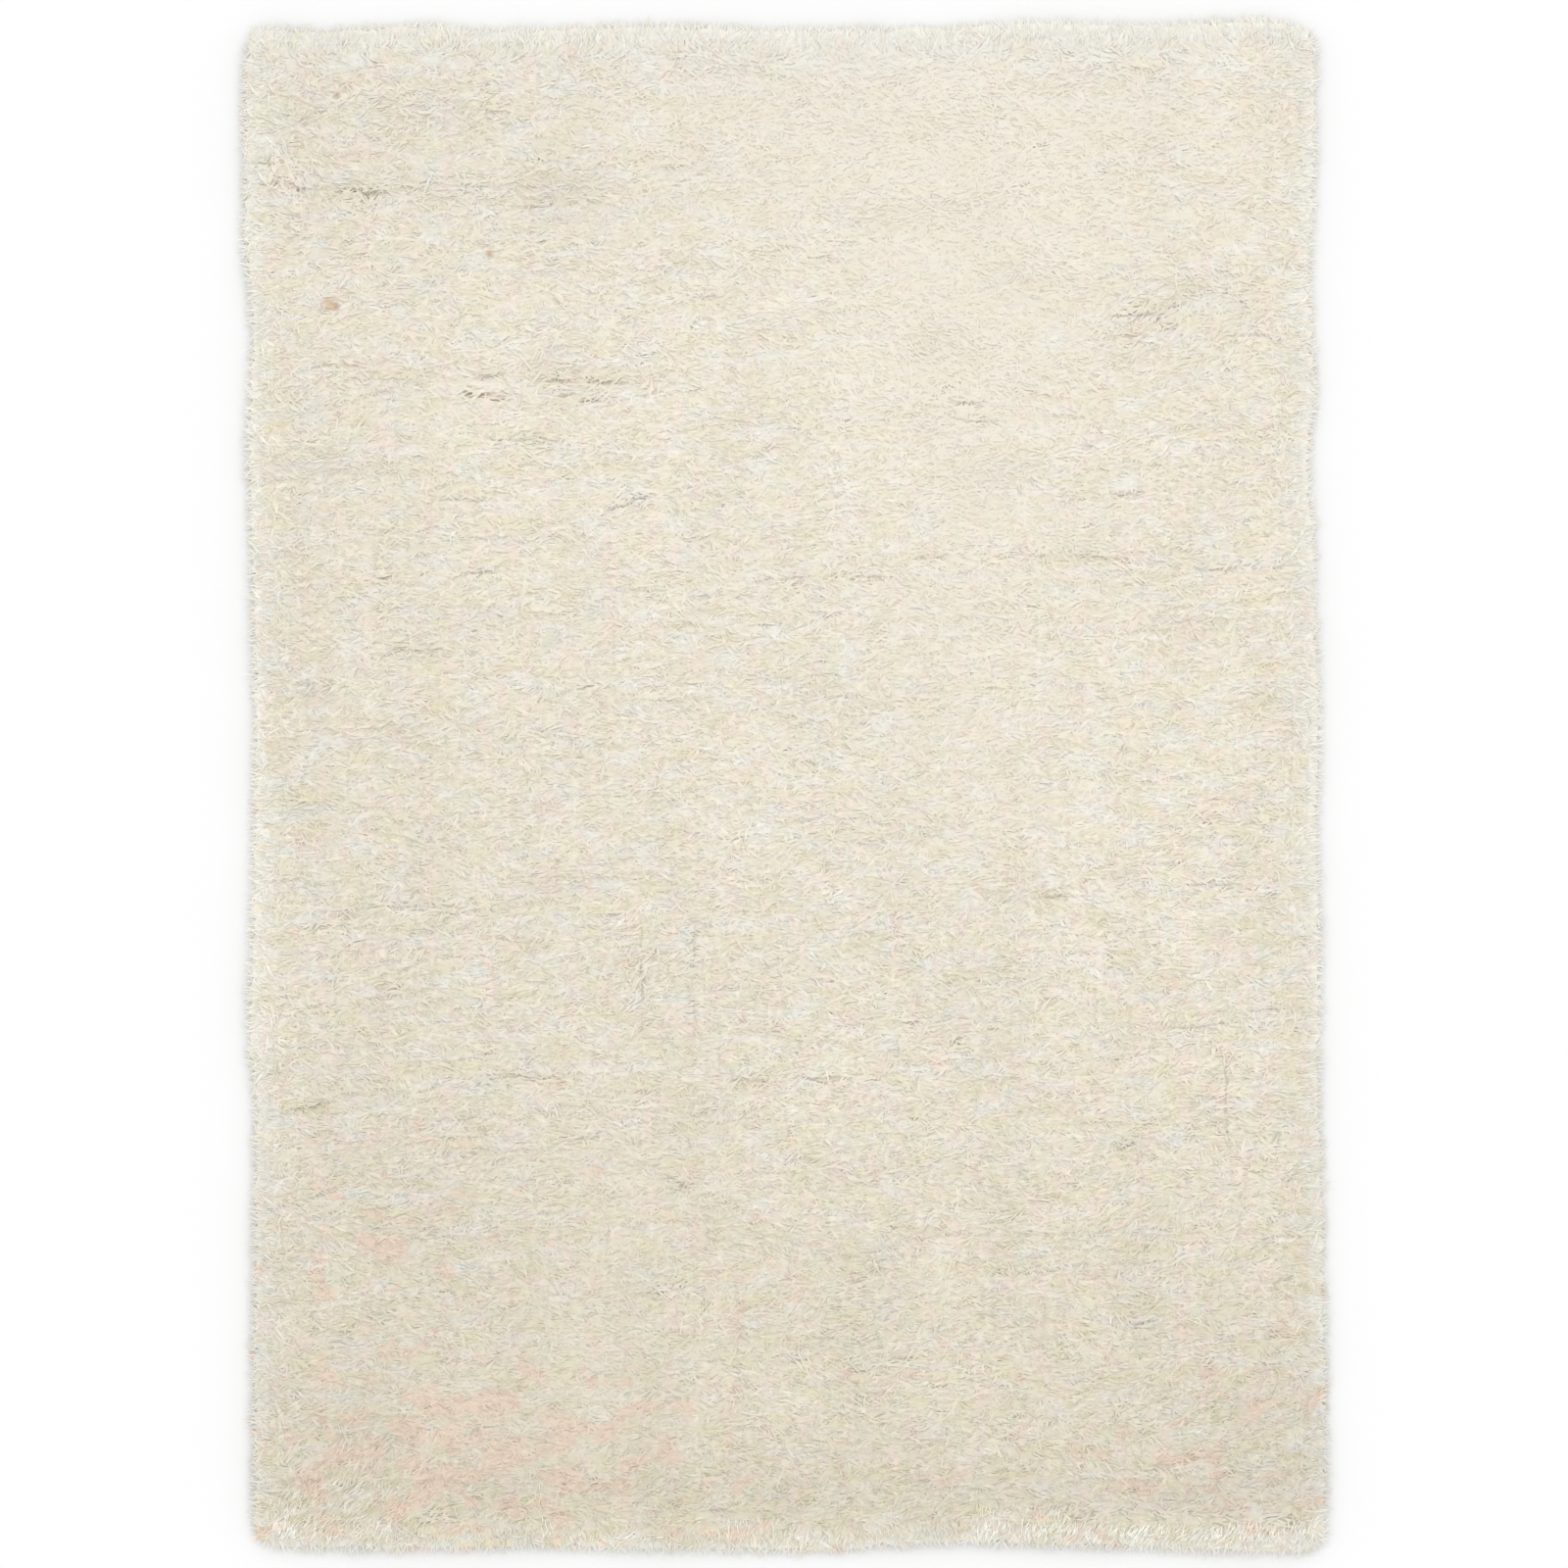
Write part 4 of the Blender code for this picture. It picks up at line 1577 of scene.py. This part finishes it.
@dataclass(frozen=True)
class Ground:
    """The woven ground that the yarns are tufted into, 1.60 m wide and 2.30 m long."""

    width: float = 1.60
    length: float = 2.30
    thickness: float = 0.0022
    cells_across: int = 32
    cells_along: int = 46
    finish: GroundCloth = GroundCloth()

    def build(self, outline: Outline) -> bpy.types.Object:
        """Makes the ground, a thin closed sheet inside the pile's outline.

        Args:
            outline: The pile's outline.

        Returns:
            The piece.
        """
        inset = (outline.width - self.width) / 2
        across = np.linspace(-1, 1, self.cells_across + 1)[None, :]
        along = np.linspace(-1, 1, self.cells_along + 1)[:, None]
        across, along = np.broadcast_arrays(across, along)
        x, y = outline.place(across, along, inset)
        top = np.stack([x, y, np.full_like(x, self.thickness)], axis=-1)
        rim = rim_of(top)
        under = rim * (1.0, 1.0, 0.0)
        parts = slab_parts(top, under[None])
        parts.flat = None
        item = parts.piece("woven_ground", self.finish.material(), Slot.GROUND)
        return item


@dataclass(frozen=True)
class Bed:
    """The close yarn inside the pile, up to a little under its surface."""

    cells_across: int = 100
    cells_along: int = 330
    inset: float = -0.007
    unevenness: float = 0.0025
    steps: tuple[float, ...] = (0.0, 0.006, 0.012, 0.018, 0.026, 0.036, 0.048, 0.062)
    sunk: float = 0.0009
    underside: float = 0.0026
    least: float = 0.002
    finish: BedYarn = BedYarn()

    def graded(self, cells: int, size: float) -> Array:
        """Places from -1 to 1 along a side: close steps at both ends and even cells between."""
        steps = 2 * np.array(self.steps) / size
        middle = np.linspace(steps[-1] - 1, 1 - steps[-1], cells - 2 * len(self.steps) + 3)
        return np.concatenate([steps - 1, middle[1:-1], 1 - steps[::-1]])

    def build(self, outline: Outline, pile: Pile) -> bpy.types.Object:
        """Makes the bed: the pile's surface lowered, with an uneven rim and walls to the ground.

        Args:
            outline: The pile's outline.
            pile: The pile's form.

        Returns:
            The piece.
        """
        across = self.graded(self.cells_across, outline.width)[None, :]
        along = self.graded(self.cells_along, outline.length)[:, None]
        across, along = np.broadcast_arrays(across, along)
        uneven = self.unevenness * pile.wander_grain.at(across, along * outline.length)
        x, y = outline.place(across, along, self.inset + uneven)
        height = np.maximum(pile.bed(x, y) - self.sunk, self.underside + self.least)
        top = np.stack([x, y, height], axis=-1)
        rim = rim_of(top)
        low = rim * (1.0, 1.0, 0.0) + (0.0, 0.0, self.underside)
        parts = slab_parts(top, low[None])
        across, along = parts.points[:, 0], parts.points[:, 1]
        # The depth sets the painted crease shade, and the tone carries painted light and shade
        parts.numbers = {
            "depth": pile.depth(across, along),
            "tone": pile.tone(across, along),
            "warmth": pile.warmth(across, along),
            "blush": pile.blush(across, along),
            "calm": pile.calm(across, along),
        }
        return parts.piece("pile_bed", self.finish.material(), Slot.PILE)


@dataclass(frozen=True)
class PileLayer:
    """One depth of locks over the whole rug, made in strips that run its length."""

    name: str
    cut: LockCut
    clumps: Clumps
    across: int
    along: int
    strips: int
    seed: int
    lock_sway: float
    clump_sway: float = 10.0
    inset: float = 0.006
    rim_reach: float = 0.034
    root_share: float = 0.5
    hold: float = 0.55
    clump_lift: float = 0.0002
    lock_lift: float = 0.00012
    clump_tone: float = 0.012
    lock_tone: float = 0.014

    def locks(self, pile: Pile) -> Locks:
        """Draws the layer's locks, one in each cell of a jittered grid.

        Near the rim they turn outwards: the combed direction fades as a bell of the inset. In a
        calm place they differ less.

        Args:
            pile: The pile's form.

        Returns:
            All the locks of the layer.
        """
        draws = np.random.default_rng(self.seed)
        count = self.across * self.along
        column, row = np.arange(count) % self.across, np.arange(count) // self.across
        across = 2 * (column + draws.random(count)) / self.across - 1
        along = 2 * (row + draws.random(count)) / self.along - 1
        x, y = pile.outline.place(across, along, self.inset)
        clump, middle_x, middle_y = self.clumps.nearest(x, y)
        comb = pile.combing(middle_x, middle_y) + np.radians(self.clump_sway * clump[:, 0])
        comb = comb + np.radians(self.lock_sway * draws.standard_normal(count))
        out_x, out_y = pile.outline.outward(x, y)
        near_rim = np.exp(-((pile.outline.inset(x, y) / self.rim_reach) ** 2))
        ease = 1 - pile.calm(x, y)
        ahead_x = (1 - near_rim) * np.cos(comb) + near_rim * out_x
        ahead_y = (1 - near_rim) * np.sin(comb) + near_rim * out_y
        heading = np.arctan2(ahead_y, ahead_x)
        length = draws.uniform(*self.cut.length, count)
        width = draws.uniform(*self.cut.width, count)
        beside = (middle_x - x) * -np.sin(heading) + (middle_y - y) * np.cos(heading)
        curl = self.cut.curl * draws.standard_normal(count)
        lift = self.clump_lift * clump[:, 1] + self.lock_lift * draws.standard_normal(count)
        spin = self.cut.spin * ease * draws.standard_normal(count)
        tone = self.clump_tone * clump[:, 2] + self.lock_tone * draws.standard_normal(count)
        return Locks(
            cut=self.cut,
            root_x=x - np.cos(heading) * length * self.root_share,
            root_y=y - np.sin(heading) * length * self.root_share,
            heading=heading,
            length=length,
            width=width,
            curl=curl,
            pull=self.hold * beside,
            lift=ease * lift,
            level=np.ones(count),
            spin=spin,
            tone=ease * tone,
        )

    def build(self, pile: Pile, material: bpy.types.Material) -> list[bpy.types.Object]:
        """Makes the layer's strips.

        Args:
            pile: The pile's form.
            material: The yarn's finish.

        Returns:
            One piece for each strip, from left to right.
        """
        locks = self.locks(pile)
        order = np.argsort(locks.root_x, kind="stable")
        pieces = []
        for number, chosen in enumerate(np.array_split(order, self.strips), start=1):
            parts = lock_parts(locks.only(chosen), pile)
            pieces.append(parts.piece(f"{self.name}_{number}", material, Slot.PILE))
        return pieces


@dataclass(frozen=True)
class Rim:
    """The locks round the rim, which hang out over it down to the floor."""

    name: str
    cut: LockCut
    count: int
    seed: int
    insets: Range
    levels: Range
    clumps: Clumps = Clumps(across=0.020, along=0.020, seed=37)
    sway: float = 24.0
    clump_sway: float = 16.0
    root_share: float = 0.45
    hold: float = 0.6
    lift: float = 0.0012
    tone: float = 0.015

    def locks(self, pile: Pile) -> Locks:
        """Draws the rim's locks, evenly spread round it.

        Args:
            pile: The pile's form.

        Returns:
            The locks.
        """
        draws = np.random.default_rng(self.seed)
        outline = pile.outline
        around = (np.arange(self.count) + draws.random(self.count)) / self.count
        run = around * 2 * (outline.width + outline.length)
        corners = np.cumsum([0.0, outline.width, outline.length, outline.width, outline.length])
        across = np.interp(run, corners, (-1.0, 1.0, 1.0, -1.0, -1.0))
        along = np.interp(run, corners, (-1.0, -1.0, 1.0, 1.0, -1.0))
        inset = draws.uniform(*self.insets, self.count)
        x, y = outline.place(across, along, inset)
        clump, middle_x, middle_y = self.clumps.nearest(x, y)
        out_x, out_y = outline.outward(x, y)
        heading = np.arctan2(out_y, out_x) + np.radians(self.clump_sway * clump[:, 0])
        heading = heading + np.radians(self.sway * draws.standard_normal(self.count))
        length = draws.uniform(*self.cut.length, self.count)
        beside = (middle_x - x) * -np.sin(heading) + (middle_y - y) * np.cos(heading)
        return Locks(
            cut=self.cut,
            root_x=x - np.cos(heading) * length * self.root_share,
            root_y=y - np.sin(heading) * length * self.root_share,
            heading=heading,
            length=length,
            width=draws.uniform(*self.cut.width, self.count),
            curl=self.cut.curl * draws.standard_normal(self.count),
            pull=self.hold * beside,
            lift=self.lift * draws.standard_normal(self.count),
            level=draws.uniform(*self.levels, self.count),
            spin=self.cut.spin * draws.standard_normal(self.count),
            tone=self.tone * draws.standard_normal(self.count),
        )

    def build(self, pile: Pile, material: bpy.types.Material) -> bpy.types.Object:
        """Makes the rim's locks as one piece with the yarn's finish."""
        return lock_parts(self.locks(pile), pile).piece(self.name, material, Slot.PILE)


@dataclass(frozen=True)
class CreaseShadeStrands:
    """Thin dark strands of painted crease shade, laid along the listed creases where the pile
    parts.
    """

    cut: LockCut
    seed: int = 73
    spacing: float = 0.007
    jitter: float = 0.15
    reach: float = 0.95
    wander: float = 4.0
    side: float = 0.0005
    root_share: float = 0.5
    lift: float = 0.0012
    tone: float = 0.05

    def build(self, pile: Pile, material: bpy.types.Material) -> bpy.types.Object:
        """Makes the strands as one piece: a few one after the other along each crease.

        A strand at the share u of a crease's half length has sqrt(1 - u^2) of the full width.

        Args:
            pile: The pile's form.
            material: The yarn's finish.

        Returns:
            The piece.
        """
        draws = np.random.default_rng(self.seed)
        counts = [max(2, round(2 * row.half_length / self.spacing)) for row in CREASES]
        rows = np.repeat(np.array(CREASES), counts, axis=0)
        count = len(rows)
        share = np.concatenate([(np.arange(each) + 0.5) / each * 2 - 1 for each in counts])
        share = share + self.jitter * draws.standard_normal(count)
        share = np.clip(share, -self.reach, self.reach)
        turn = np.radians(rows[:, 3])
        ahead, aside = share * rows[:, 2], self.side * draws.standard_normal(count)
        x = rows[:, 0] + np.cos(turn) * ahead - np.sin(turn) * aside
        y = rows[:, 1] + np.sin(turn) * ahead + np.cos(turn) * aside
        off = pile.line_wander * pile.wander_grain.at(x, y)
        x, y = x + np.sin(turn) * off, y - np.cos(turn) * off
        heading = turn + np.radians(self.wander * draws.standard_normal(count))
        length = draws.uniform(*self.cut.length, count)
        locks = Locks(
            cut=self.cut,
            root_x=x - np.cos(heading) * length * self.root_share,
            root_y=y - np.sin(heading) * length * self.root_share,
            heading=heading,
            length=length,
            width=draws.uniform(*self.cut.width, count) * rows[:, 4] * np.sqrt(1 - share**2),
            curl=self.cut.curl * draws.standard_normal(count),
            pull=np.zeros(count),
            lift=np.full(count, self.lift),
            level=np.ones(count),
            spin=self.cut.spin * draws.standard_normal(count),
            tone=self.tone * draws.standard_normal(count),
        )
        return lock_parts(locks, pile).piece("crease_strands", material, Slot.PILE)


@dataclass(frozen=True)
class LooseWisps:
    """The pale wisps that stand out of the pile in the listed tufts."""

    cut: LockCut
    seed: int = 71
    spread: float = 12.0
    root_share: float = 0.5
    lift: float = 0.0004
    paler: float = 0.08
    tone: float = 0.03

    def build(self, pile: Pile, material: bpy.types.Material) -> bpy.types.Object:
        """Makes the wisps as one piece.

        Args:
            pile: The pile's form.
            material: The yarn's finish.

        Returns:
            The piece.
        """
        draws = np.random.default_rng(self.seed)
        rows = np.repeat(np.array(TUFTS), [tuft.count for tuft in TUFTS], axis=0)
        count = len(rows)
        x = rows[:, 0] + rows[:, 2] * draws.uniform(-1, 1, count)
        y = rows[:, 1] + rows[:, 3] * draws.uniform(-1, 1, count)
        heading = np.radians(rows[:, 4] + self.spread * draws.standard_normal(count))
        length = draws.uniform(*self.cut.length, count)
        locks = Locks(
            cut=self.cut,
            root_x=x - np.cos(heading) * length * self.root_share,
            root_y=y - np.sin(heading) * length * self.root_share,
            heading=heading,
            length=length,
            width=draws.uniform(*self.cut.width, count),
            curl=self.cut.curl * draws.standard_normal(count),
            pull=np.zeros(count),
            lift=self.lift * draws.random(count),
            level=np.ones(count),
            spin=self.cut.spin * draws.standard_normal(count),
            tone=self.paler + self.tone * draws.standard_normal(count),
        )
        return lock_parts(locks, pile).piece("loose_wisps", material, Slot.PILE)


@dataclass(frozen=True)
class Studio:
    """The pale floor, the soft light and the camera straight above the rug."""

    floor_radius: float = 40.0
    floor_sides: int = 96
    floor_drop: float = 0.0005
    floor_colour: Colour = (0.945, 0.945, 0.945, 1.0)
    floor_roughness: float = 0.9
    frame_width: float = 2.392
    look_across: float = -0.0015
    look_along: float = 0.0045
    look_height: float = 0.030
    lens: float = 85.0
    sensor: float = 36.0
    room_light: float = 1.012
    horizon_light: float = 1.07
    horizon_reach: float = 0.35
    far_light: Axes = (0.06, 0.13, 0.0)
    sun_strength: float = 0.25
    sun_spread: float = 35.0
    sun_from: Axes = (0.28, 0.76, 0.58)

    def floor(self) -> bpy.types.Object:
        """Makes the floor, a wide disc just under the rug.

        Returns:
            The staged floor.
        """
        turn = FULL_TURN * np.arange(self.floor_sides) / self.floor_sides
        rim = np.stack([np.cos(turn), np.sin(turn)], axis=-1) * self.floor_radius
        points = np.column_stack([rim, np.full(self.floor_sides, -self.floor_drop)])
        mesh = bpy.data.meshes.new("floor")
        mesh.from_pydata(points, [], [tuple(range(self.floor_sides))])
        nodes = NodeSet.of_finish("pale_floor")
        nodes.finish(Base_Color=self.floor_colour, Roughness=self.floor_roughness)
        mesh.materials.append(nodes.owner)
        item = bpy.data.objects.new("floor", mesh)
        bpy.context.scene.collection.objects.link(item)
        return item

    def room(self) -> None:
        """Sets the room's soft light, a little brighter low down and towards the far right.

        At the height z of a unit direction it rises by (1 - z / reach)^2 of the difference, and
        by that direction times the far light.
        """
        nodes = NodeSet(bpy.data.worlds.new("room"), "Background")
        direction = Signal(nodes, nodes.add("ShaderNodeTexCoord", {}, {}).outputs["Generated"])
        parts = nodes.add("ShaderNodeSeparateXYZ", {}, {0: direction})
        low = (1.0 - Signal(nodes, parts.outputs[2]) / self.horizon_reach).held()
        sockets = {0: direction, 1: self.far_light}
        far = nodes.add("ShaderNodeVectorMath", {"operation": "DOT_PRODUCT"}, sockets)
        strength = low * low * (self.horizon_light - self.room_light) + self.room_light
        strength = strength + Signal(nodes, far.outputs["Value"])
        bpy.context.scene.world = nodes.finish(Color=(1.0, 1.0, 1.0, 1.0), Strength=strength)

    def light(self) -> None:
        """Sets a broad soft light from the far right."""
        data = bpy.data.lights.new("broad_light", "SUN")
        data.energy = self.sun_strength
        data.angle = math.radians(self.sun_spread)
        item = bpy.data.objects.new("broad_light", data)
        item.location = self.sun_from
        item.rotation_mode = "QUATERNION"
        item.rotation_quaternion = (-Vector(self.sun_from)).to_track_quat("-Z", "Y")
        bpy.context.scene.collection.objects.link(item)
        bpy.context.scene.view_settings.view_transform = "Standard"

    def camera(self) -> None:
        """Sets the camera above the rug, its frame as wide as the photograph's on the pile."""
        data = bpy.data.cameras.new("above")
        data.lens, data.sensor_width = self.lens, self.sensor
        item = bpy.data.objects.new("above", data)
        height = self.look_height + self.frame_width * self.lens / self.sensor
        item.location = (self.look_across, self.look_along, height)
        bpy.context.scene.collection.objects.link(item)
        bpy.context.scene.camera = item


LOWER_LOCK = LockCut(
    length=(0.026, 0.044),
    width=(0.0048, 0.0074),
    stations=(0.55,),
    girths=(1.0,),
    sunk=(0.0010, 0.0004, 0.0005),
    curl=0.16,
)
UPPER_LOCK = LockCut(
    length=(0.011, 0.024),
    width=(0.0030, 0.0052),
    stations=(0.55,),
    girths=(1.0,),
    sunk=(0.0006, 0.0001, 0.0002),
    curl=0.16,
)
RIM_LOCK = LockCut(
    length=(0.024, 0.042),
    width=(0.0044, 0.0072),
    stations=(0.50,),
    girths=(1.0,),
    sunk=(0.0010, 0.0, 0.0004),
    curl=0.20,
    flatness=0.14,
)
RIM_WISP = LockCut(
    length=(0.020, 0.036),
    width=(0.0018, 0.0030),
    stations=(0.40,),
    girths=(1.0,),
    sunk=(0.0008, -0.0004, 0.0),
    curl=0.20,
    flatness=0.16,
)
# Strands that take all of the painted crease shade
CREASE_SHADE_STRAND = LockCut(
    length=(0.018, 0.032),
    width=(0.0014, 0.0022),
    stations=(0.50,),
    girths=(1.0,),
    sunk=(0.0, -0.0004, 0.0),
    curl=0.10,
    flatness=0.20,
    gives_way=False,
    shade=1.0,
)
TUFT_WISP = LockCut(
    length=(0.016, 0.030),
    width=(0.0018, 0.0028),
    stations=(0.50,),
    girths=(1.0,),
    sunk=(0.0004, -0.0008, -0.0004),
    curl=0.15,
    flatness=0.25,
)


LOWER_PILE = PileLayer(
    "lower_pile",
    LOWER_LOCK,
    Clumps(across=0.026, along=0.012, seed=31),
    across=110,
    along=420,
    strips=2,
    seed=41,
    lock_sway=22.0,
)
UPPER_PILE = PileLayer(
    "upper_pile",
    UPPER_LOCK,
    Clumps(across=0.016, along=0.009, seed=33),
    across=180,
    along=470,
    strips=3,
    seed=43,
    lock_sway=38.0,
    clump_sway=18.0,
)
RIM_LOCKS = Rim(
    "rim_locks", RIM_LOCK, count=9000, seed=61, insets=(-0.002, 0.024), levels=(0.55, 1.02)
)
RIM_WISPS = Rim(
    "rim_wisps", RIM_WISP, count=12000, seed=63, insets=(-0.011, 0.020), levels=(0.70, 1.06)
)

# The rim's yarn is paler and greyer, as the light comes through it
RIM_YARN = Yarn(
    "rim_yarn",
    root=(0.86, 0.84, 0.75, 1.0),
    body=(0.875, 0.868, 0.79, 1.0),
    tip=(0.915, 0.925, 0.885, 1.0),
    casts=Casts(warm_share=3.0, rosy_share=2.0),
    softness=0.2,
)


def report(piece: bpy.types.Object) -> int:
    """Logs a piece and returns its triangles."""
    triangles = sum(len(face.vertices) - 2 for face in piece.data.polygons)
    LOG.info("%s: %d triangles", piece.name, triangles)
    return triangles


def main() -> None:
    """Builds the rug's pieces and the studio, in order, and logs each piece's triangles."""
    logging.basicConfig(level=logging.INFO, format="%(name)s: %(message)s")
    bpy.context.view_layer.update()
    studio = Studio()
    studio.camera()
    studio.room()
    studio.light()
    studio.floor()
    outline = Outline()
    pile = Pile(outline)
    yarn, rim_yarn = Yarn().material(), RIM_YARN.material()
    pieces = [
        Ground().build(outline),
        Bed().build(outline, pile),
        *LOWER_PILE.build(pile, yarn),
        *UPPER_PILE.build(pile, yarn),
        RIM_LOCKS.build(pile, rim_yarn),
        RIM_WISPS.build(pile, rim_yarn),
        LooseWisps(TUFT_WISP).build(pile, rim_yarn),
        CreaseShadeStrands(CREASE_SHADE_STRAND).build(pile, yarn),
    ]
    total = sum(report(piece) for piece in pieces)
    LOG.info("%d pieces, %d triangles", len(pieces), total)


if __name__ == "__main__":
    main()
